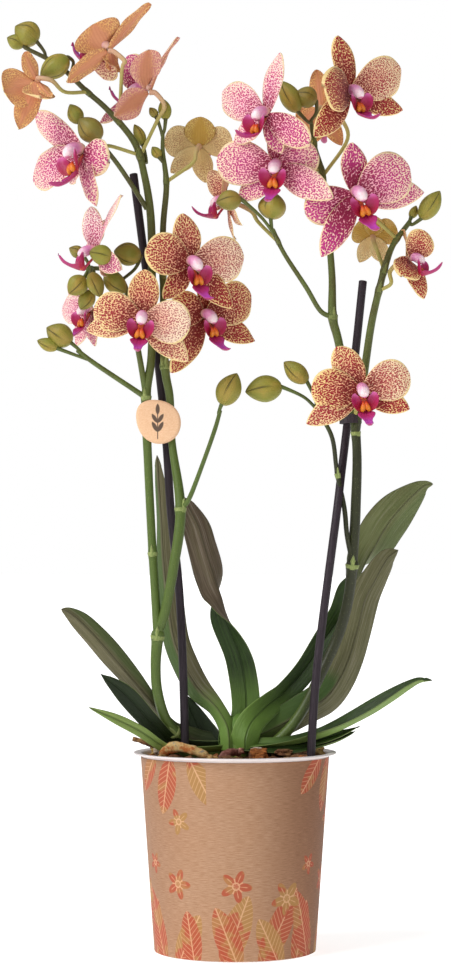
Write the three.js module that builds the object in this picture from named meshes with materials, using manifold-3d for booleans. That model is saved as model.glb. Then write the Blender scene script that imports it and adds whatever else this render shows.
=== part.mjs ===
// A potted moth orchid: two flower spikes tied to dark sticks, leaves, crown, bark, pot and card tag.
// Millimetres, +Z up. The origin is the centre of the pot's underside and +Y points away from the viewer.
import * as THREE from 'three';
import { mergeVertices } from 'three/addons/utils/BufferGeometryUtils.js';
import Module from 'manifold-3d';

const wasm = await Module();
wasm.setup();

// Driving dimensions
const GAP = 0.3; // between two pieces that touch
const SLIVER = 0.06; // cuts leave no edge shorter than this
const POT = { height: 88, baseRadius: 35.2, topRadius: 41.3, wall: 0.9, lip: 45, lipDrop: 2.6 };
const LABEL = { thickness: 0.4, bottom: 1.2, top: 84.4 };
const BARK_LEVEL = 85.4; // the growing bark's surface, under the pot's lip
const STICK_RADIUS = 1.85;
const STICK_FOOT = 14; // where the support sticks end inside the pot
const TAG = { width: 17.5, height: 21.5, thickness: 0.5 };
const LEAF_THICKNESS = 1.7;
const PETAL_THICKNESS = 1.1;
const FLOWER_SPAN = 43; // from one petal's tip to the other's, on a flower of size 1

// Lists of places below hold [x, z, depth] as seen from the front, read in the upright plane through the
// pot's axis. at() slides such a place along its line of sight to its own depth.
const EYE = new THREE.Vector3(-4.2, -1130, 169);

function at(x, z, depth = 0) {
  const slide = 1 + depth / -EYE.y;
  return new THREE.Vector3(EYE.x + (x - EYE.x) * slide, depth, EYE.z + (z - EYE.z) * slide);
}

// Colours, as they look in daylight
const LOOKS = {
  potWhite: { color: 0xece6e2, roughness: 0.4 },
  labelBrown: { color: 0xb98e6c, roughness: 0.8 },
  barkBrown: { color: 0x6a4630, roughness: 0.95 },
  barkOrange: { color: 0xa5622f, roughness: 0.9 },
  barkPale: { color: 0xcfa96a, roughness: 0.9 },
  root: { color: 0x8a7a6c, roughness: 0.8 },
  crown: { color: 0x6f9a3e, roughness: 0.5 },
  leaf: { color: 0x35521f, roughness: 0.4 },
  stem: { color: 0x7d9450, roughness: 0.5 },
  stick: { color: 0x3a3038, roughness: 0.45 },
  tag: { color: 0xe3bd98, roughness: 0.8 },
  warmPetal: { color: 0xb9524a, roughness: 0.6 },
  pinkPetal: { color: 0xd88aa6, roughness: 0.6 },
  olivePetal: { color: 0xc2ab6b, roughness: 0.6 },
};

// A closed geometry through rings of equal length, each a list of points, with flat ends
function loft(rings) {
  const count = rings[0].length;
  const places = rings.flat();
  const faces = [];
  for (let ring = 0; ring + 1 < rings.length; ring++) {
    for (let corner = 0; corner < count; corner++) {
      const here = ring * count + corner;
      const next = ring * count + ((corner + 1) % count);
      faces.push([here, next, here + count], [next, next + count, here + count]);
    }
  }
  const last = (rings.length - 1) * count;
  for (let corner = 1; corner + 1 < count; corner++) {
    faces.push([0, corner + 1, corner], [last, last + corner, last + corner + 1]);
  }
  const sixVolumes = faces.map(([a, b, c]) => places[a].dot(places[b].clone().cross(places[c])));
  const turned = sixVolumes.reduce((sum, volume) => sum + volume, 0) < 0;
  const geometry = new THREE.BufferGeometry().setFromPoints(places);
  geometry.setIndex(faces.flatMap(([a, b, c]) => (turned ? [a, c, b] : [a, b, c])));
  return geometry;
}

function solidOf(geometry) {
  geometry.deleteAttribute('normal');
  geometry.deleteAttribute('uv');
  const merged = mergeVertices(geometry);
  const vertProperties = Float32Array.from(merged.attributes.position.array);
  const triVerts = Uint32Array.from(merged.index.array);
  return new wasm.Manifold(new wasm.Mesh({ numProp: 3, vertProperties, triVerts }));
}

function geometryOf(solid) {
  const { vertProperties, triVerts } = solid.getMesh();
  const geometry = new THREE.BufferGeometry();
  geometry.setAttribute('position', new THREE.BufferAttribute(vertProperties, 3));
  geometry.setIndex(new THREE.BufferAttribute(triVerts, 1));
  geometry.computeVertexNormals();
  return geometry;
}

function joined(solids) {
  return solids.reduce((whole, solid) => whole.add(solid));
}

// Smooth values between a list's rows, each row a list of three numbers
function rowsBetween(rows, shares) {
  const curve = new THREE.CatmullRomCurve3(rows.map((row) => new THREE.Vector3(...row)));
  return shares.map((share) => curve.getPoint(share).toArray());
}

function evenly(steps) {
  return Array.from({ length: steps + 1 }, (_, step) => step / steps);
}

// A round stalk through places, with a radius at each. swell makes it thicker and longer all round.
function stalk(places, radii, { swell = 0, steps = 3 * (places.length - 1), sides = 6 } = {}) {
  const curve = new THREE.CatmullRomCurve3(places);
  const shares = evenly(steps);
  const thickness = rowsBetween(radii.map((radius) => [radius, 0, 0]), shares);
  let side = new THREE.Vector3(0.3, 0.9, 0.2);
  const rings = shares.map((share, index) => {
    const along = curve.getTangent(share);
    side = side.clone().addScaledVector(along, -side.dot(along)).normalize();
    const over = along.clone().cross(side);
    const reach = index === 0 ? -swell : index === steps ? swell : 0;
    const centre = curve.getPoint(share).addScaledVector(along, reach);
    return evenly(sides).slice(0, sides).map((turn) => {
      const angle = 2 * Math.PI * turn;
      const radius = thickness[index][0] + swell;
      return centre.clone()
        .addScaledVector(side, radius * Math.cos(angle))
        .addScaledVector(over, radius * Math.sin(angle));
    });
  });
  return solidOf(loft(rings));
}

// One thin cross-section of a leaf or petal: two edges, and a middle that is thicker than they are
function bladeSection(centre, across, face, half, fold, thickness, swell) {
  const wide = half + swell;
  const lift = fold * half;
  const middle = (side) => centre.clone().addScaledVector(face, side * (thickness / 2 + swell));
  const edge = (side, up) => centre.clone()
    .addScaledVector(across, side * wide)
    .addScaledVector(face, lift + up * swell);
  if (swell === 0) return [middle(1), edge(-1, 0), middle(-1), edge(1, 0)];
  return [middle(1), edge(-1, 1), edge(-1, -1), middle(-1), edge(1, -1), edge(1, 1)];
}

// A leaf along rows of [x, z, depth, half width, turn, fold]. A turn of 0 degrees shows its upper side to
// the viewer, 90 its edge and 180 its underside. fold is how steeply its halves rise from the midrib.
function leaf(rows, swell = 0, steps = 3 * (rows.length - 1)) {
  const curve = new THREE.CatmullRomCurve3(rows.map(([x, z, depth]) => at(x, z, depth)));
  const shares = evenly(steps);
  const shape = rowsBetween(rows.map((row) => row.slice(3)), shares);
  const rings = shares.map((share, index) => {
    const [half, turn, fold] = shape[index];
    const along = curve.getTangent(share);
    const front = new THREE.Vector3(0, -1, 0);
    front.addScaledVector(along, -front.dot(along)).normalize();
    const beside = along.clone().cross(front);
    const angle = THREE.MathUtils.degToRad(turn);
    const face = front.clone().multiplyScalar(Math.cos(angle)).addScaledVector(beside, -Math.sin(angle));
    const across = along.clone().cross(face);
    const reach = index === 0 ? -swell : index === steps ? swell : 0;
    const centre = curve.getPoint(share).addScaledVector(along, reach);
    const thickness = LEAF_THICKNESS * Math.min(1, half / 3);
    return bladeSection(centre, across, face, Math.max(half, 0.25), fold, thickness, swell);
  });
  return solidOf(loft(rings));
}

// A bud from its base to its tip, on its own thin stalk from the stem
function bud({ from, base, tip, width, stalkRadius = 0.8 }, swell = 0) {
  const axis = tip.clone().sub(base);
  const swelling = [[0, 0.3], [0.22, 0.8], [0.5, 1], [0.78, 0.72], [1, 0.16]];
  const middle = from.clone().lerp(base, 0.5).addScaledVector(axis, -0.12);
  const places = [from, middle, ...swelling.map(([share]) => base.clone().addScaledVector(axis, share))];
  const radii = [stalkRadius, stalkRadius, ...swelling.map(([, part]) => part * width / 2)];
  return stalk(places, radii, { swell, steps: places.length - 1, sides: 5 });
}

// One tepal of a flower that faces +z: it leaves the middle at an angle, widens, and bends back at its tip.
// The outlines hold shares of its length and width. The two petals lie in front of the three sepals.
const SEPAL_OUTLINE = [[0, 0.12], [0.42, 0.92], [0.76, 0.88], [1, 0.18]];
const PETAL_OUTLINE = [[0, 0.1], [0.4, 0.9], [0.76, 0.96], [1, 0.3]];
const SEPAL_LAYER = -0.9;
const PETAL_LAYER = 0.8;

function tepal({ angle, length, width, bend, fold, layer }, outline, swell) {
  const turn = new THREE.Matrix4().makeRotationZ(THREE.MathUtils.degToRad(angle));
  const across = new THREE.Vector3(0, 1, 0).transformDirection(turn);
  const face = new THREE.Vector3(0, 0, 1);
  const rings = outline.map(([share, part], index) => {
    const reach = index === 0 ? 0 : index === outline.length - 1 ? swell : 0;
    const centre = new THREE.Vector3(1 + share * (length - 1) + reach, 0, layer - bend * share * share);
    centre.applyMatrix4(turn);
    return bladeSection(centre, across, face, part * width / 2, fold, PETAL_THICKNESS, swell);
  });
  return solidOf(loft(rings));
}

// The lip runs forward under the column: two side lobes that stand up, then a narrow middle lobe.
// Rows are [forward, up, half width, fold].
const LIP_ROWS = [[0.5, -1, 0.9, 0.2], [4.5, -4, 4.6, 0.9], [9, -7, 2.1, 0.3], [15, -8.5, 0.6, 0]];

function lip(swell) {
  const rings = LIP_ROWS.map(([forward, up, half, fold], index) => {
    const end = index === LIP_ROWS.length - 1 ? swell : 0;
    const centre = new THREE.Vector3(0, up, forward + end);
    const face = new THREE.Vector3(0, 0.85, 0.53);
    return bladeSection(centre, new THREE.Vector3(-1, 0, 0), face, half, fold, 1.2, swell);
  });
  return solidOf(loft(rings));
}

function column(swell) {
  const places = [[0, -0.5, -2], [0, 0.4, 3], [0, 0, 7]].map((place) => new THREE.Vector3(...place));
  return stalk(places, [1.9, 2.2, 1.7], { swell, steps: 2, sides: 4 });
}

// facing is [to the right, up] in degrees, where [0, 0] looks at the viewer. roll turns the flower's top
// towards the right. opening under 1 closes the tepals forward.
function flower({ centre, facing, roll = 0, size = 1, opening = 1, join, waypoint }, swell = 0) {
  const reach = FLOWER_SPAN / 2;
  const bend = 2 - 22 * (1 - opening);
  const sepal = { length: reach * 1.02, width: reach * 0.62, bend, fold: 0.1, layer: SEPAL_LAYER };
  const petal = { length: reach, width: reach * 0.86, bend, fold: -0.04, layer: PETAL_LAYER };
  const parts = [
    tepal({ angle: 90, ...sepal }, SEPAL_OUTLINE, swell),
    tepal({ angle: -42, ...sepal }, SEPAL_OUTLINE, swell),
    tepal({ angle: 222, ...sepal }, SEPAL_OUTLINE, swell),
    tepal({ angle: 12, ...petal }, PETAL_OUTLINE, swell),
    tepal({ angle: 168, ...petal }, PETAL_OUTLINE, swell),
    lip(swell),
    column(swell),
  ];
  const [right, up] = facing.map(THREE.MathUtils.degToRad);
  const forward = new THREE.Vector3(
    Math.sin(right) * Math.cos(up), -Math.cos(right) * Math.cos(up), Math.sin(up));
  const sideways = new THREE.Vector3(Math.cos(right), Math.sin(right), 0);
  const top = forward.clone().cross(sideways);
  const pose = new THREE.Matrix4().makeBasis(sideways, top, forward);
  pose.multiply(new THREE.Matrix4().makeRotationZ(THREE.MathUtils.degToRad(-roll)));
  pose.scale(new THREE.Vector3(size, size, size)).setPosition(centre);
  const bloom = joined(parts).transform(pose.elements);
  const back = centre.clone().addScaledVector(forward, -1);
  const behind = centre.clone().addScaledVector(forward, -9 * size);
  const places = [back, behind, waypoint ?? behind.clone().lerp(join, 0.5), join];
  return bloom.add(stalk(places, [1.5, 1.2, 1, 1], { swell, steps: 4, sides: 4 }));
}

function turnedPart(profile, segments = 36) {
  const geometry = new THREE.LatheGeometry(profile.map(([r, z]) => new THREE.Vector2(r, z)), segments);
  return solidOf(geometry.rotateX(Math.PI / 2));
}

function potRadius(z) {
  return POT.baseRadius + (POT.topRadius - POT.baseRadius) * (z / (POT.height - POT.lipDrop));
}

function pot() {
  const { height, baseRadius, wall, lip: lipRadius, lipDrop } = POT;
  const shoulder = height - lipDrop;
  return turnedPart([
    [0, 0], [baseRadius - 1, 0], [potRadius(1), 1], [potRadius(shoulder), shoulder],
    [lipRadius - 0.6, height - 1.7], [lipRadius, height - 0.9], [lipRadius - 0.5, height],
    [potRadius(shoulder), height - 0.7], [potRadius(shoulder) - wall, shoulder],
    [baseRadius - wall, wall], [0, wall],
  ]);
}

function potLabel() {
  const { thickness, bottom, top } = LABEL;
  const inner = (z) => potRadius(z) + GAP;
  return turnedPart([[inner(bottom), bottom], [inner(bottom) + thickness, bottom],
    [inner(top) + thickness, top], [inner(top), top], [inner(bottom), bottom]]);
}

function growingBark() {
  const inside = (z) => potRadius(z) - POT.wall - GAP;
  const floor = POT.wall + GAP;
  return turnedPart([[0, floor], [inside(floor), floor], [inside(BARK_LEVEL - 1.6), BARK_LEVEL - 1.6],
    [30, BARK_LEVEL - 0.4], [0, BARK_LEVEL + 1]], 24);
}

// A rough chip of bark: a low-sided ball, squashed to a length, width and height and turned on the bark
function chip({ centre, size, turn = 0, tilt = 0 }, swell = 0) {
  const geometry = new THREE.DodecahedronGeometry(1);
  geometry.scale(...size.map((side) => side / 2 + swell));
  geometry.rotateY(THREE.MathUtils.degToRad(tilt));
  geometry.rotateZ(THREE.MathUtils.degToRad(turn));
  geometry.translate(centre.x, centre.y, centre.z);
  return solidOf(geometry);
}

// The card tag's outline, a rounded egg with its narrow end up
function eggShape(width, height) {
  const shape = new THREE.Shape();
  shape.moveTo(0, -height / 2);
  shape.bezierCurveTo(width * 0.36, -height / 2, width * 0.56, -height * 0.22, width / 2, height * 0.05);
  shape.bezierCurveTo(width * 0.42, height * 0.34, width * 0.2, height / 2, 0, height / 2);
  shape.bezierCurveTo(-width * 0.2, height / 2, -width * 0.42, height * 0.34, -width / 2, height * 0.05);
  shape.bezierCurveTo(-width * 0.56, -height * 0.22, -width * 0.36, -height / 2, 0, -height / 2);
  return shape;
}

function cardTag(centre, tiltDegrees, swell) {
  const shape = eggShape(TAG.width + 2 * swell, TAG.height + 2 * swell);
  const depth = TAG.thickness + 2 * swell;
  const geometry = new THREE.ExtrudeGeometry(shape, { depth, bevelEnabled: false, curveSegments: 6 });
  geometry.translate(0, 0, -depth / 2);
  geometry.rotateZ(THREE.MathUtils.degToRad(tiltDegrees));
  geometry.rotateX(Math.PI / 2);
  geometry.translate(centre.x, centre.y, centre.z);
  return solidOf(geometry);
}

// A clip: a flat band in the form of a long ring that holds a stem to its stick
function clip(first, second, inside, swell) {
  const gapLength = Math.hypot(second.x - first.x, second.y - first.y);
  const ring = (radius, path) => {
    path.absarc(gapLength / 2, 0, radius, -Math.PI / 2, Math.PI / 2);
    path.absarc(-gapLength / 2, 0, radius, Math.PI / 2, 1.5 * Math.PI);
    path.closePath();
    return path;
  };
  const shape = ring(inside + 0.9 + swell, new THREE.Shape());
  shape.holes.push(ring(inside - swell, new THREE.Path()));
  const depth = 4 + 2 * swell;
  const geometry = new THREE.ExtrudeGeometry(shape, { depth, bevelEnabled: false, curveSegments: 6 });
  geometry.translate(0, 0, -depth / 2);
  geometry.rotateZ(Math.atan2(second.y - first.y, second.x - first.x));
  geometry.translate((first.x + second.x) / 2, (first.y + second.y) / 2, (first.z + second.z) / 2);
  return solidOf(geometry);
}

// Support sticks, from the top down into the bark, as rows of [x, z, depth]
const STICKS = {
  stick_left: [[-45.3, 345, 7], [-40.8, 311, 7], [-34.7, 265, 6], [-30.7, 227, 6], [-28.4, 193, 4],
    [-24.4, 154, 1], [-22.2, 92, -3], [-21.5, STICK_FOOT, -5]],
  stick_right: [[57.1, 297, 5], [53.7, 265, 6], [49.5, 229, 7], [47.2, 210, 2], [44.9, 191, -5],
    [36.9, 129, -10], [33.7, 86, -12], [31, STICK_FOOT, -13]],
};

// Stems as rows of [x, z, depth, radius], each with the buds it bears. A bud has its stalk's start, its
// base and its tip as [x, z, depth], and its width.
const STEMS = {
  spike_left_base: {
    rows: [[-7, 89, 5, 2.4], [-15, 90.5, 4.5, 2.5], [-22, 92.4, 2.6, 2.6], [-27, 96.4, -2.4, 2.8],
      [-31.4, 103.6, -6, 2.4], [-34.5, 115, -8.6, 2.3], [-35.2, 126, -8.6, 2.3],
      [-34.6, 136, -8, 2.6], [-34.2, 140, -8, 2.9]],
  },
  spike_left_outer: {
    rows: [[-34.3, 141, -8, 2.1], [-35.6, 160, -5, 1.9], [-37, 183, -2, 1.9], [-38.6, 215, 0, 1.9],
      [-39.6, 245, 0, 2.1], [-37.2, 264, 0, 1.8], [-37, 300, 0, 1.8], [-37.6, 326, 0, 1.8],
      [-40.5, 345, 0, 1.6], [-45, 359.5, 0, 1.5], [-56.5, 373.5, 0, 1.3], [-66.5, 382.5, 0, 1.2],
      [-79, 394, -1, 1.1], [-94, 402, -2, 0.9]],
    buds: [
      { from: [-84.7, 398, -1], base: [-88.6, 404.6, -1], tip: [-98.4, 411.6, -2], width: 10.5 },
      { from: [-92, 401.4, -2], base: [-94.6, 402.6, -2], tip: [-102, 406.5, -3], width: 6 },
      { from: [-73, 391.4, -2], base: [-74.6, 397.6, -6], tip: [-87, 389, -8], width: 9 },
      { from: [-39.5, 350, 1], base: [-41, 357.8, 4], tip: [-45, 367.5, 5], width: 4.6 },
    ],
  },
  spike_left_inner: {
    rows: [[-34.1, 141, -8, 2.2], [-31, 150, -8.5, 2.2], [-27.4, 169, -8.5, 2.2], [-24.2, 195, -6, 2.3],
      [-28, 225, 0, 1.7], [-29, 245, 1, 1.8], [-31.2, 259, 1, 1.9], [-32, 290, 3, 1.5],
      [-32.1, 320, 3, 1.4], [-30.6, 340, 3, 1.3], [-32.2, 355, 3, 1], [-32.2, 363.5, 3, 0.8]],
    buds: [
      { from: [-32.2, 363, 3], base: [-31, 369.5, 3], tip: [-32.2, 379, 3], width: 5.2 },
      { from: [-32.4, 362, 3], base: [-35, 370.5, 2], tip: [-38.2, 375, 2], width: 3.4 },
      { from: [-31.8, 350, 3], base: [-33.6, 352.4, 1], tip: [-37, 357.4, 0], width: 4 },
    ],
  },
  spike_left_thin_branch: {
    rows: [[-24.2, 196, -6, 1.2], [-20.4, 200, -8, 1.1], [-13.8, 217, -9, 1], [-8.9, 231, -9, 1],
      [-6.6, 239, -9, 0.9]],
    buds: [{ from: [-6.9, 238, -9], base: [-6, 242, -9], tip: [0.9, 256, -9], width: 9.6 }],
  },
  spike_left_bud_branch: {
    rows: [[-39.6, 246, 0, 1.4], [-42.5, 263, -2, 1.3], [-46, 281, -3, 1.3], [-49.5, 296, -4, 1.2],
      [-56, 302, -5, 1.1], [-66.5, 303, -6, 0.9]],
    buds: [
      { from: [-50, 298, -4], base: [-42, 308, -6], tip: [-54, 310.5, -9], width: 9 },
      { from: [-56, 302, -5], base: [-55, 307.4, -24], tip: [-64.8, 310.2, -29], width: 7.6 },
      { from: [-65, 303, -6], base: [-67.6, 308.4, -6], tip: [-74, 312, -6], width: 5 },
      { from: [-66, 303, -6], base: [-67, 299, -9], tip: [-74, 291.5, -12], width: 8 },
      { from: [-63, 303, -6], base: [-64.5, 301, -13], tip: [-60, 290, -16], width: 6.4 },
      { from: [-55, 301, -5], base: [-58, 300, -9], tip: [-48.6, 292, -13], width: 7.6 },
      { from: [-63, 303, -5], base: [-64, 293, -5], tip: [-69, 284.5, -6], width: 6.5 },
    ],
  },
  spike_left_low_branch: {
    rows: [[-39.6, 245, 0, 1.3], [-45.5, 249, -1, 1.2], [-62, 260, -3, 1.1], [-70, 266, -4, 1]],
    buds: [
      { from: [-68.5, 265, -4], base: [-73, 269.5, -4], tip: [-84, 276.4, -4], width: 9.4 },
      { from: [-64, 261.5, -3], base: [-79, 267, -5], tip: [-88.2, 270.6, -6], width: 5.2 },
    ],
  },
  spike_left_top_branch: {
    rows: [[-39.3, 329.5, 0, 1.2], [-45.5, 339.3, -3, 1.1], [-52, 349, -7, 1.1], [-58.6, 357.5, -10.5, 1]],
    buds: [
      { from: [-58, 357, -10.5], base: [-60.4, 360.5, -11.5], tip: [-69.8, 370, -13], width: 9.6 },
      { from: [-58.2, 357.4, -9.8], base: [-69.6, 368, -6], tip: [-73.8, 376.5, -5], width: 6.2 },
    ],
  },
  spike_right_base: {
    rows: [[8, 88, 2, 2.4], [15.8, 90.2, 1, 3], [19.6, 93.4, 0.6, 2.6], [25.3, 99.4, 0.4, 2.4],
      [31.4, 108.6, 1, 2.4], [37.2, 120.4, 2, 2.4], [41.8, 130, 3, 2.4], [46, 139.6, 3, 2.4],
      [49.4, 151, 2, 2.4], [51.2, 161, 1, 2.4], [52.2, 171, 0, 2.7]],
  },
  spike_right_main: {
    rows: [[52.2, 172.5, 0, 2.4], [53.7, 196, 0, 2.3], [53.8, 229, 0, 2], [46.6, 268, 2, 1.9],
      [43.6, 281, 2, 2], [43.3, 300, 2, 1.6], [41.2, 325, 2, 1.5], [39, 345, 2, 1.4],
      [35.6, 358, 2, 1], [34, 369, 1, 0.9]],
    buds: [
      { from: [34.4, 368, 1], base: [28.4, 373, -2], tip: [20.4, 387, -3], width: 8 },
      { from: [34, 369, 1], base: [36.4, 377.5, -1], tip: [27, 381.5, -3], width: 8.6 },
    ],
  },
  spike_right_outer: {
    rows: [[53.8, 230, -0.5, 2], [57.6, 256, -1, 1.8], [60.7, 277, -1, 1.7], [64, 292, -1, 1.6],
      [67.6, 305.5, -1, 1.5], [71, 314, -1, 1.3], [78, 323.6, -1, 1.1]],
    buds: [
      { from: [77.6, 323, -1], base: [83, 325, -2], tip: [91.6, 337.6, -3], width: 7.6 },
      { from: [77.6, 323, -1], base: [78.6, 325.5, 1], tip: [81, 331, 2], width: 3.6 },
    ],
  },
  spike_right_thin_branch: {
    rows: [[51.8, 174, -0.5, 1.2], [49.8, 184, -2, 1.1], [48.6, 196, -2, 1.1], [45.4, 212, -1, 1],
      [43, 228, -2, 1], [35.5, 241, -3, 0.9]],
    buds: [
      { from: [36.5, 240, -3], base: [32.2, 252, -4], tip: [21.8, 261, -5], width: 7.6 },
      { from: [35.7, 240.8, -3], base: [21, 249.8, -3], tip: [4.6, 247.6, -4], width: 10.4 },
    ],
  },
  spike_right_bud_branch: {
    rows: [[43.4, 281, 2, 1.2], [38, 284, 0, 1.1], [31.7, 294.5, -2, 1.1], [22, 309.5, -3, 1],
      [17, 320, -4, 1]],
    buds: [
      { from: [17.4, 319, -4], base: [16, 325, -4], tip: [17.4, 337, -5], width: 11 },
      { from: [18, 317.5, -4], base: [2.8, 333.8, -8], tip: [-8.4, 332.4, -10], width: 8 },
    ],
  },
};

// Leaves as leaf() reads them, from the crown to the tip
const LEAVES = {
  leaf_left_long: [[-1, 90.5, 3, 4, 190, 0.5], [-13.3, 91.5, 3, 5, 190, 0.5],
    [-22.2, 94.6, 2, 4.5, 190, 0.6], [-27.9, 98.6, 0.5, 2.8, 185, 0.7],
    [-33.2, 104.8, -2, 2.4, 182, 0.8], [-39, 112.1, -6, 3.4, 182, 0.6],
    [-46.4, 120.8, -9, 4.6, 182, 0.5], [-54.5, 130.2, -13, 5.2, 182, 0.45],
    [-61.6, 138.3, -17, 4.9, 182, 0.4], [-68.3, 145.1, -21, 4.2, 182, 0.4],
    [-73.4, 149.2, -24, 2.5, 182, 0.3], [-77.2, 151, -26, 0.5, 182, 0.2]],
  leaf_left_middle: [[0, 90, 3, 4, 15, 0.6], [-14, 89, 2, 4.6, 15, 0.6], [-27, 91, -1, 4.4, 10, 0.5],
    [-37.4, 101.3, -8, 4.4, 10, 0.4], [-48.7, 113.6, -13, 4.2, 10, 0.3],
    [-59.8, 122.4, -18, 0.5, 10, 0.2]],
  leaf_left_low: [[-2, 89, -2, 3.4, 30, 0.6], [-14, 88.2, -7, 3.4, 30, 0.5],
    [-29, 89.4, -10, 3, 30, 0.5], [-41.7, 97.2, -14, 2.6, 25, 0.4], [-53.6, 103, -19, 2.1, 20, 0.3],
    [-65.2, 107.6, -24, 0.4, 20, 0.2]],
  leaf_left_short: [[-9, 88, 5, 7.5, 10, 0.5], [-13.2, 93, 7, 8, 8, 0.4], [-16.6, 100, 9, 6, 5, 0.35],
    [-19.6, 107, 10.5, 3.6, 5, 0.3], [-21.8, 113, 11, 0.5, 5, 0.2]],
  leaf_back: [[-2.6, 88.4, -8.2, 3.8, 178, 0.9], [-2.8, 94.6, -7.6, 3.8, 176, 0.9],
    [-4.2, 100.6, -4.4, 3.7, 172, 0.8], [-8.8, 108, 0.6, 3.8, 175, 0.7],
    [-16.4, 115.9, 6, 5.5, 180, 0.6], [-22.2, 125.6, 10, 6, 190, 0.5], [-27, 138, 13, 6, 195, 0.5],
    [-29.7, 155.8, 14.5, 6, 205, 0.5], [-31.5, 173.5, 15, 5.4, 212, 0.5],
    [-32.4, 191.2, 15, 4.7, 215, 0.5], [-33.9, 209, 15, 2.6, 205, 0.4],
    [-34.7, 219.6, 14, 0.5, 190, 0.2]],
  leaf_centre: [[2, 97, 2, 5, 10, 0.5], [4.9, 105.7, 4, 6.2, 10, 0.4], [5.1, 113.7, 5, 6.4, 14, 0.4],
    [3.7, 124.7, 5, 6.4, 18, 0.45], [2.1, 131.4, 5, 6.2, 24, 0.5], [0, 137.2, 5, 6.1, 32, 0.6],
    [-2.8, 144.3, 5, 6.2, 48, 0.75], [-5, 150.5, 5, 6.6, 74, 0.85], [-6.6, 156.2, 5.5, 7, 100, 0.8],
    [-8.8, 162.4, 6, 6.8, 134, 0.6], [-10.9, 169.5, 7, 7.1, 157, 0.55],
    [-14.2, 180.2, 8, 6.8, 163, 0.5], [-16.6, 187.8, 9, 6.4, 165, 0.45],
    [-20.4, 195.9, 10, 3.9, 168, 0.4], [-22.8, 200.8, 10, 0.5, 170, 0.2]],
  leaf_right_back: [[4.6, 88.4, -9, 6, -4, -0.6], [4.8, 94.4, -8.8, 6.2, -6, -0.45],
    [7.6, 101.4, -4.4, 6.2, -12, 0.1], [14.6, 108.7, 4, 5.6, -15, 0.45],
    [22.4, 114.8, 10, 5.2, -12, 0.5], [31, 124.3, 12, 5.2, -10, 0.5], [38.6, 135.8, 14, 5.4, -5, 0.5],
    [47.9, 148.7, 19, 5.8, 30, 0.6], [53.2, 161.1, 23, 7.1, 75, 0.8],
    [57.2, 170.9, 26, 7.6, 122, 0.8], [62.4, 179.7, 28, 9.4, 162, 0.5],
    [67.4, 188.1, 30, 9.8, 170, 0.4], [73.6, 195.8, 31, 8.6, 172, 0.4],
    [81.1, 203.2, 32, 5, 172, 0.3], [84.7, 205.9, 32.6, 2.4, 165, 0.2],
    [88.2, 206.6, 33, 0.5, 160, 0.2]],
  leaf_right_front: [[2, 91, -2, 5, 165, 0.5], [8.9, 94.6, 1, 5.6, 165, 0.5],
    [20, 99.9, 5, 7, 165, 0.4], [31, 106.1, 7.2, 7.6, 165, 0.35], [39.9, 111.4, 8.2, 8.2, 165, 0.35],
    [45.7, 119, 8.8, 8.2, 165, 0.35], [50.5, 129.2, 9.4, 7.6, 165, 0.35],
    [54.1, 141.6, 10, 7.4, 165, 0.35], [57.6, 154.9, 11, 7.4, 165, 0.35],
    [62.5, 164.6, 13, 6.2, 165, 0.35], [67.8, 173.5, 15, 4.4, 165, 0.3],
    [72.7, 177.3, 17, 0.5, 165, 0.2]],
  leaf_right_strap: [[5, 90.5, -5, 3.4, 60, 0.5], [21, 91, -7.5, 3.6, 70, 0.7],
    [35.5, 93.9, -5.4, 4, 75, 0.8], [45.2, 97.3, -7, 4.4, 75, 0.8], [53.6, 101.3, -9, 4.6, 75, 0.8],
    [61.9, 105.7, -11, 4.9, 75, 0.8], [70.5, 111.2, -13, 4.5, 75, 0.8],
    [77.6, 116.1, -15, 3.6, 75, 0.75], [82.4, 118.8, -16, 2.6, 72, 0.6],
    [87.8, 119.4, -18, 0.5, 70, 0.2]],
  leaf_right_dark_upper: [[4, 89.8, -6, 2.6, 60, 0.5], [18, 89.6, -4.4, 2.8, 60, 0.5],
    [31, 91, -3, 2.8, 55, 0.5], [45, 94.8, -4, 2.2, 50, 0.4], [55.8, 99.2, -6, 0.4, 50, 0.2]],
  leaf_right_dark_lower: [[2, 88.4, -8, 2.4, 60, 0.5], [14, 88, -9.6, 2.4, 60, 0.5],
    [27, 88.4, -8.8, 2.4, 60, 0.4], [43, 92, -2, 2.2, 60, 0.4], [53.8, 97, -4, 0.4, 60, 0.2]],
};

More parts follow.
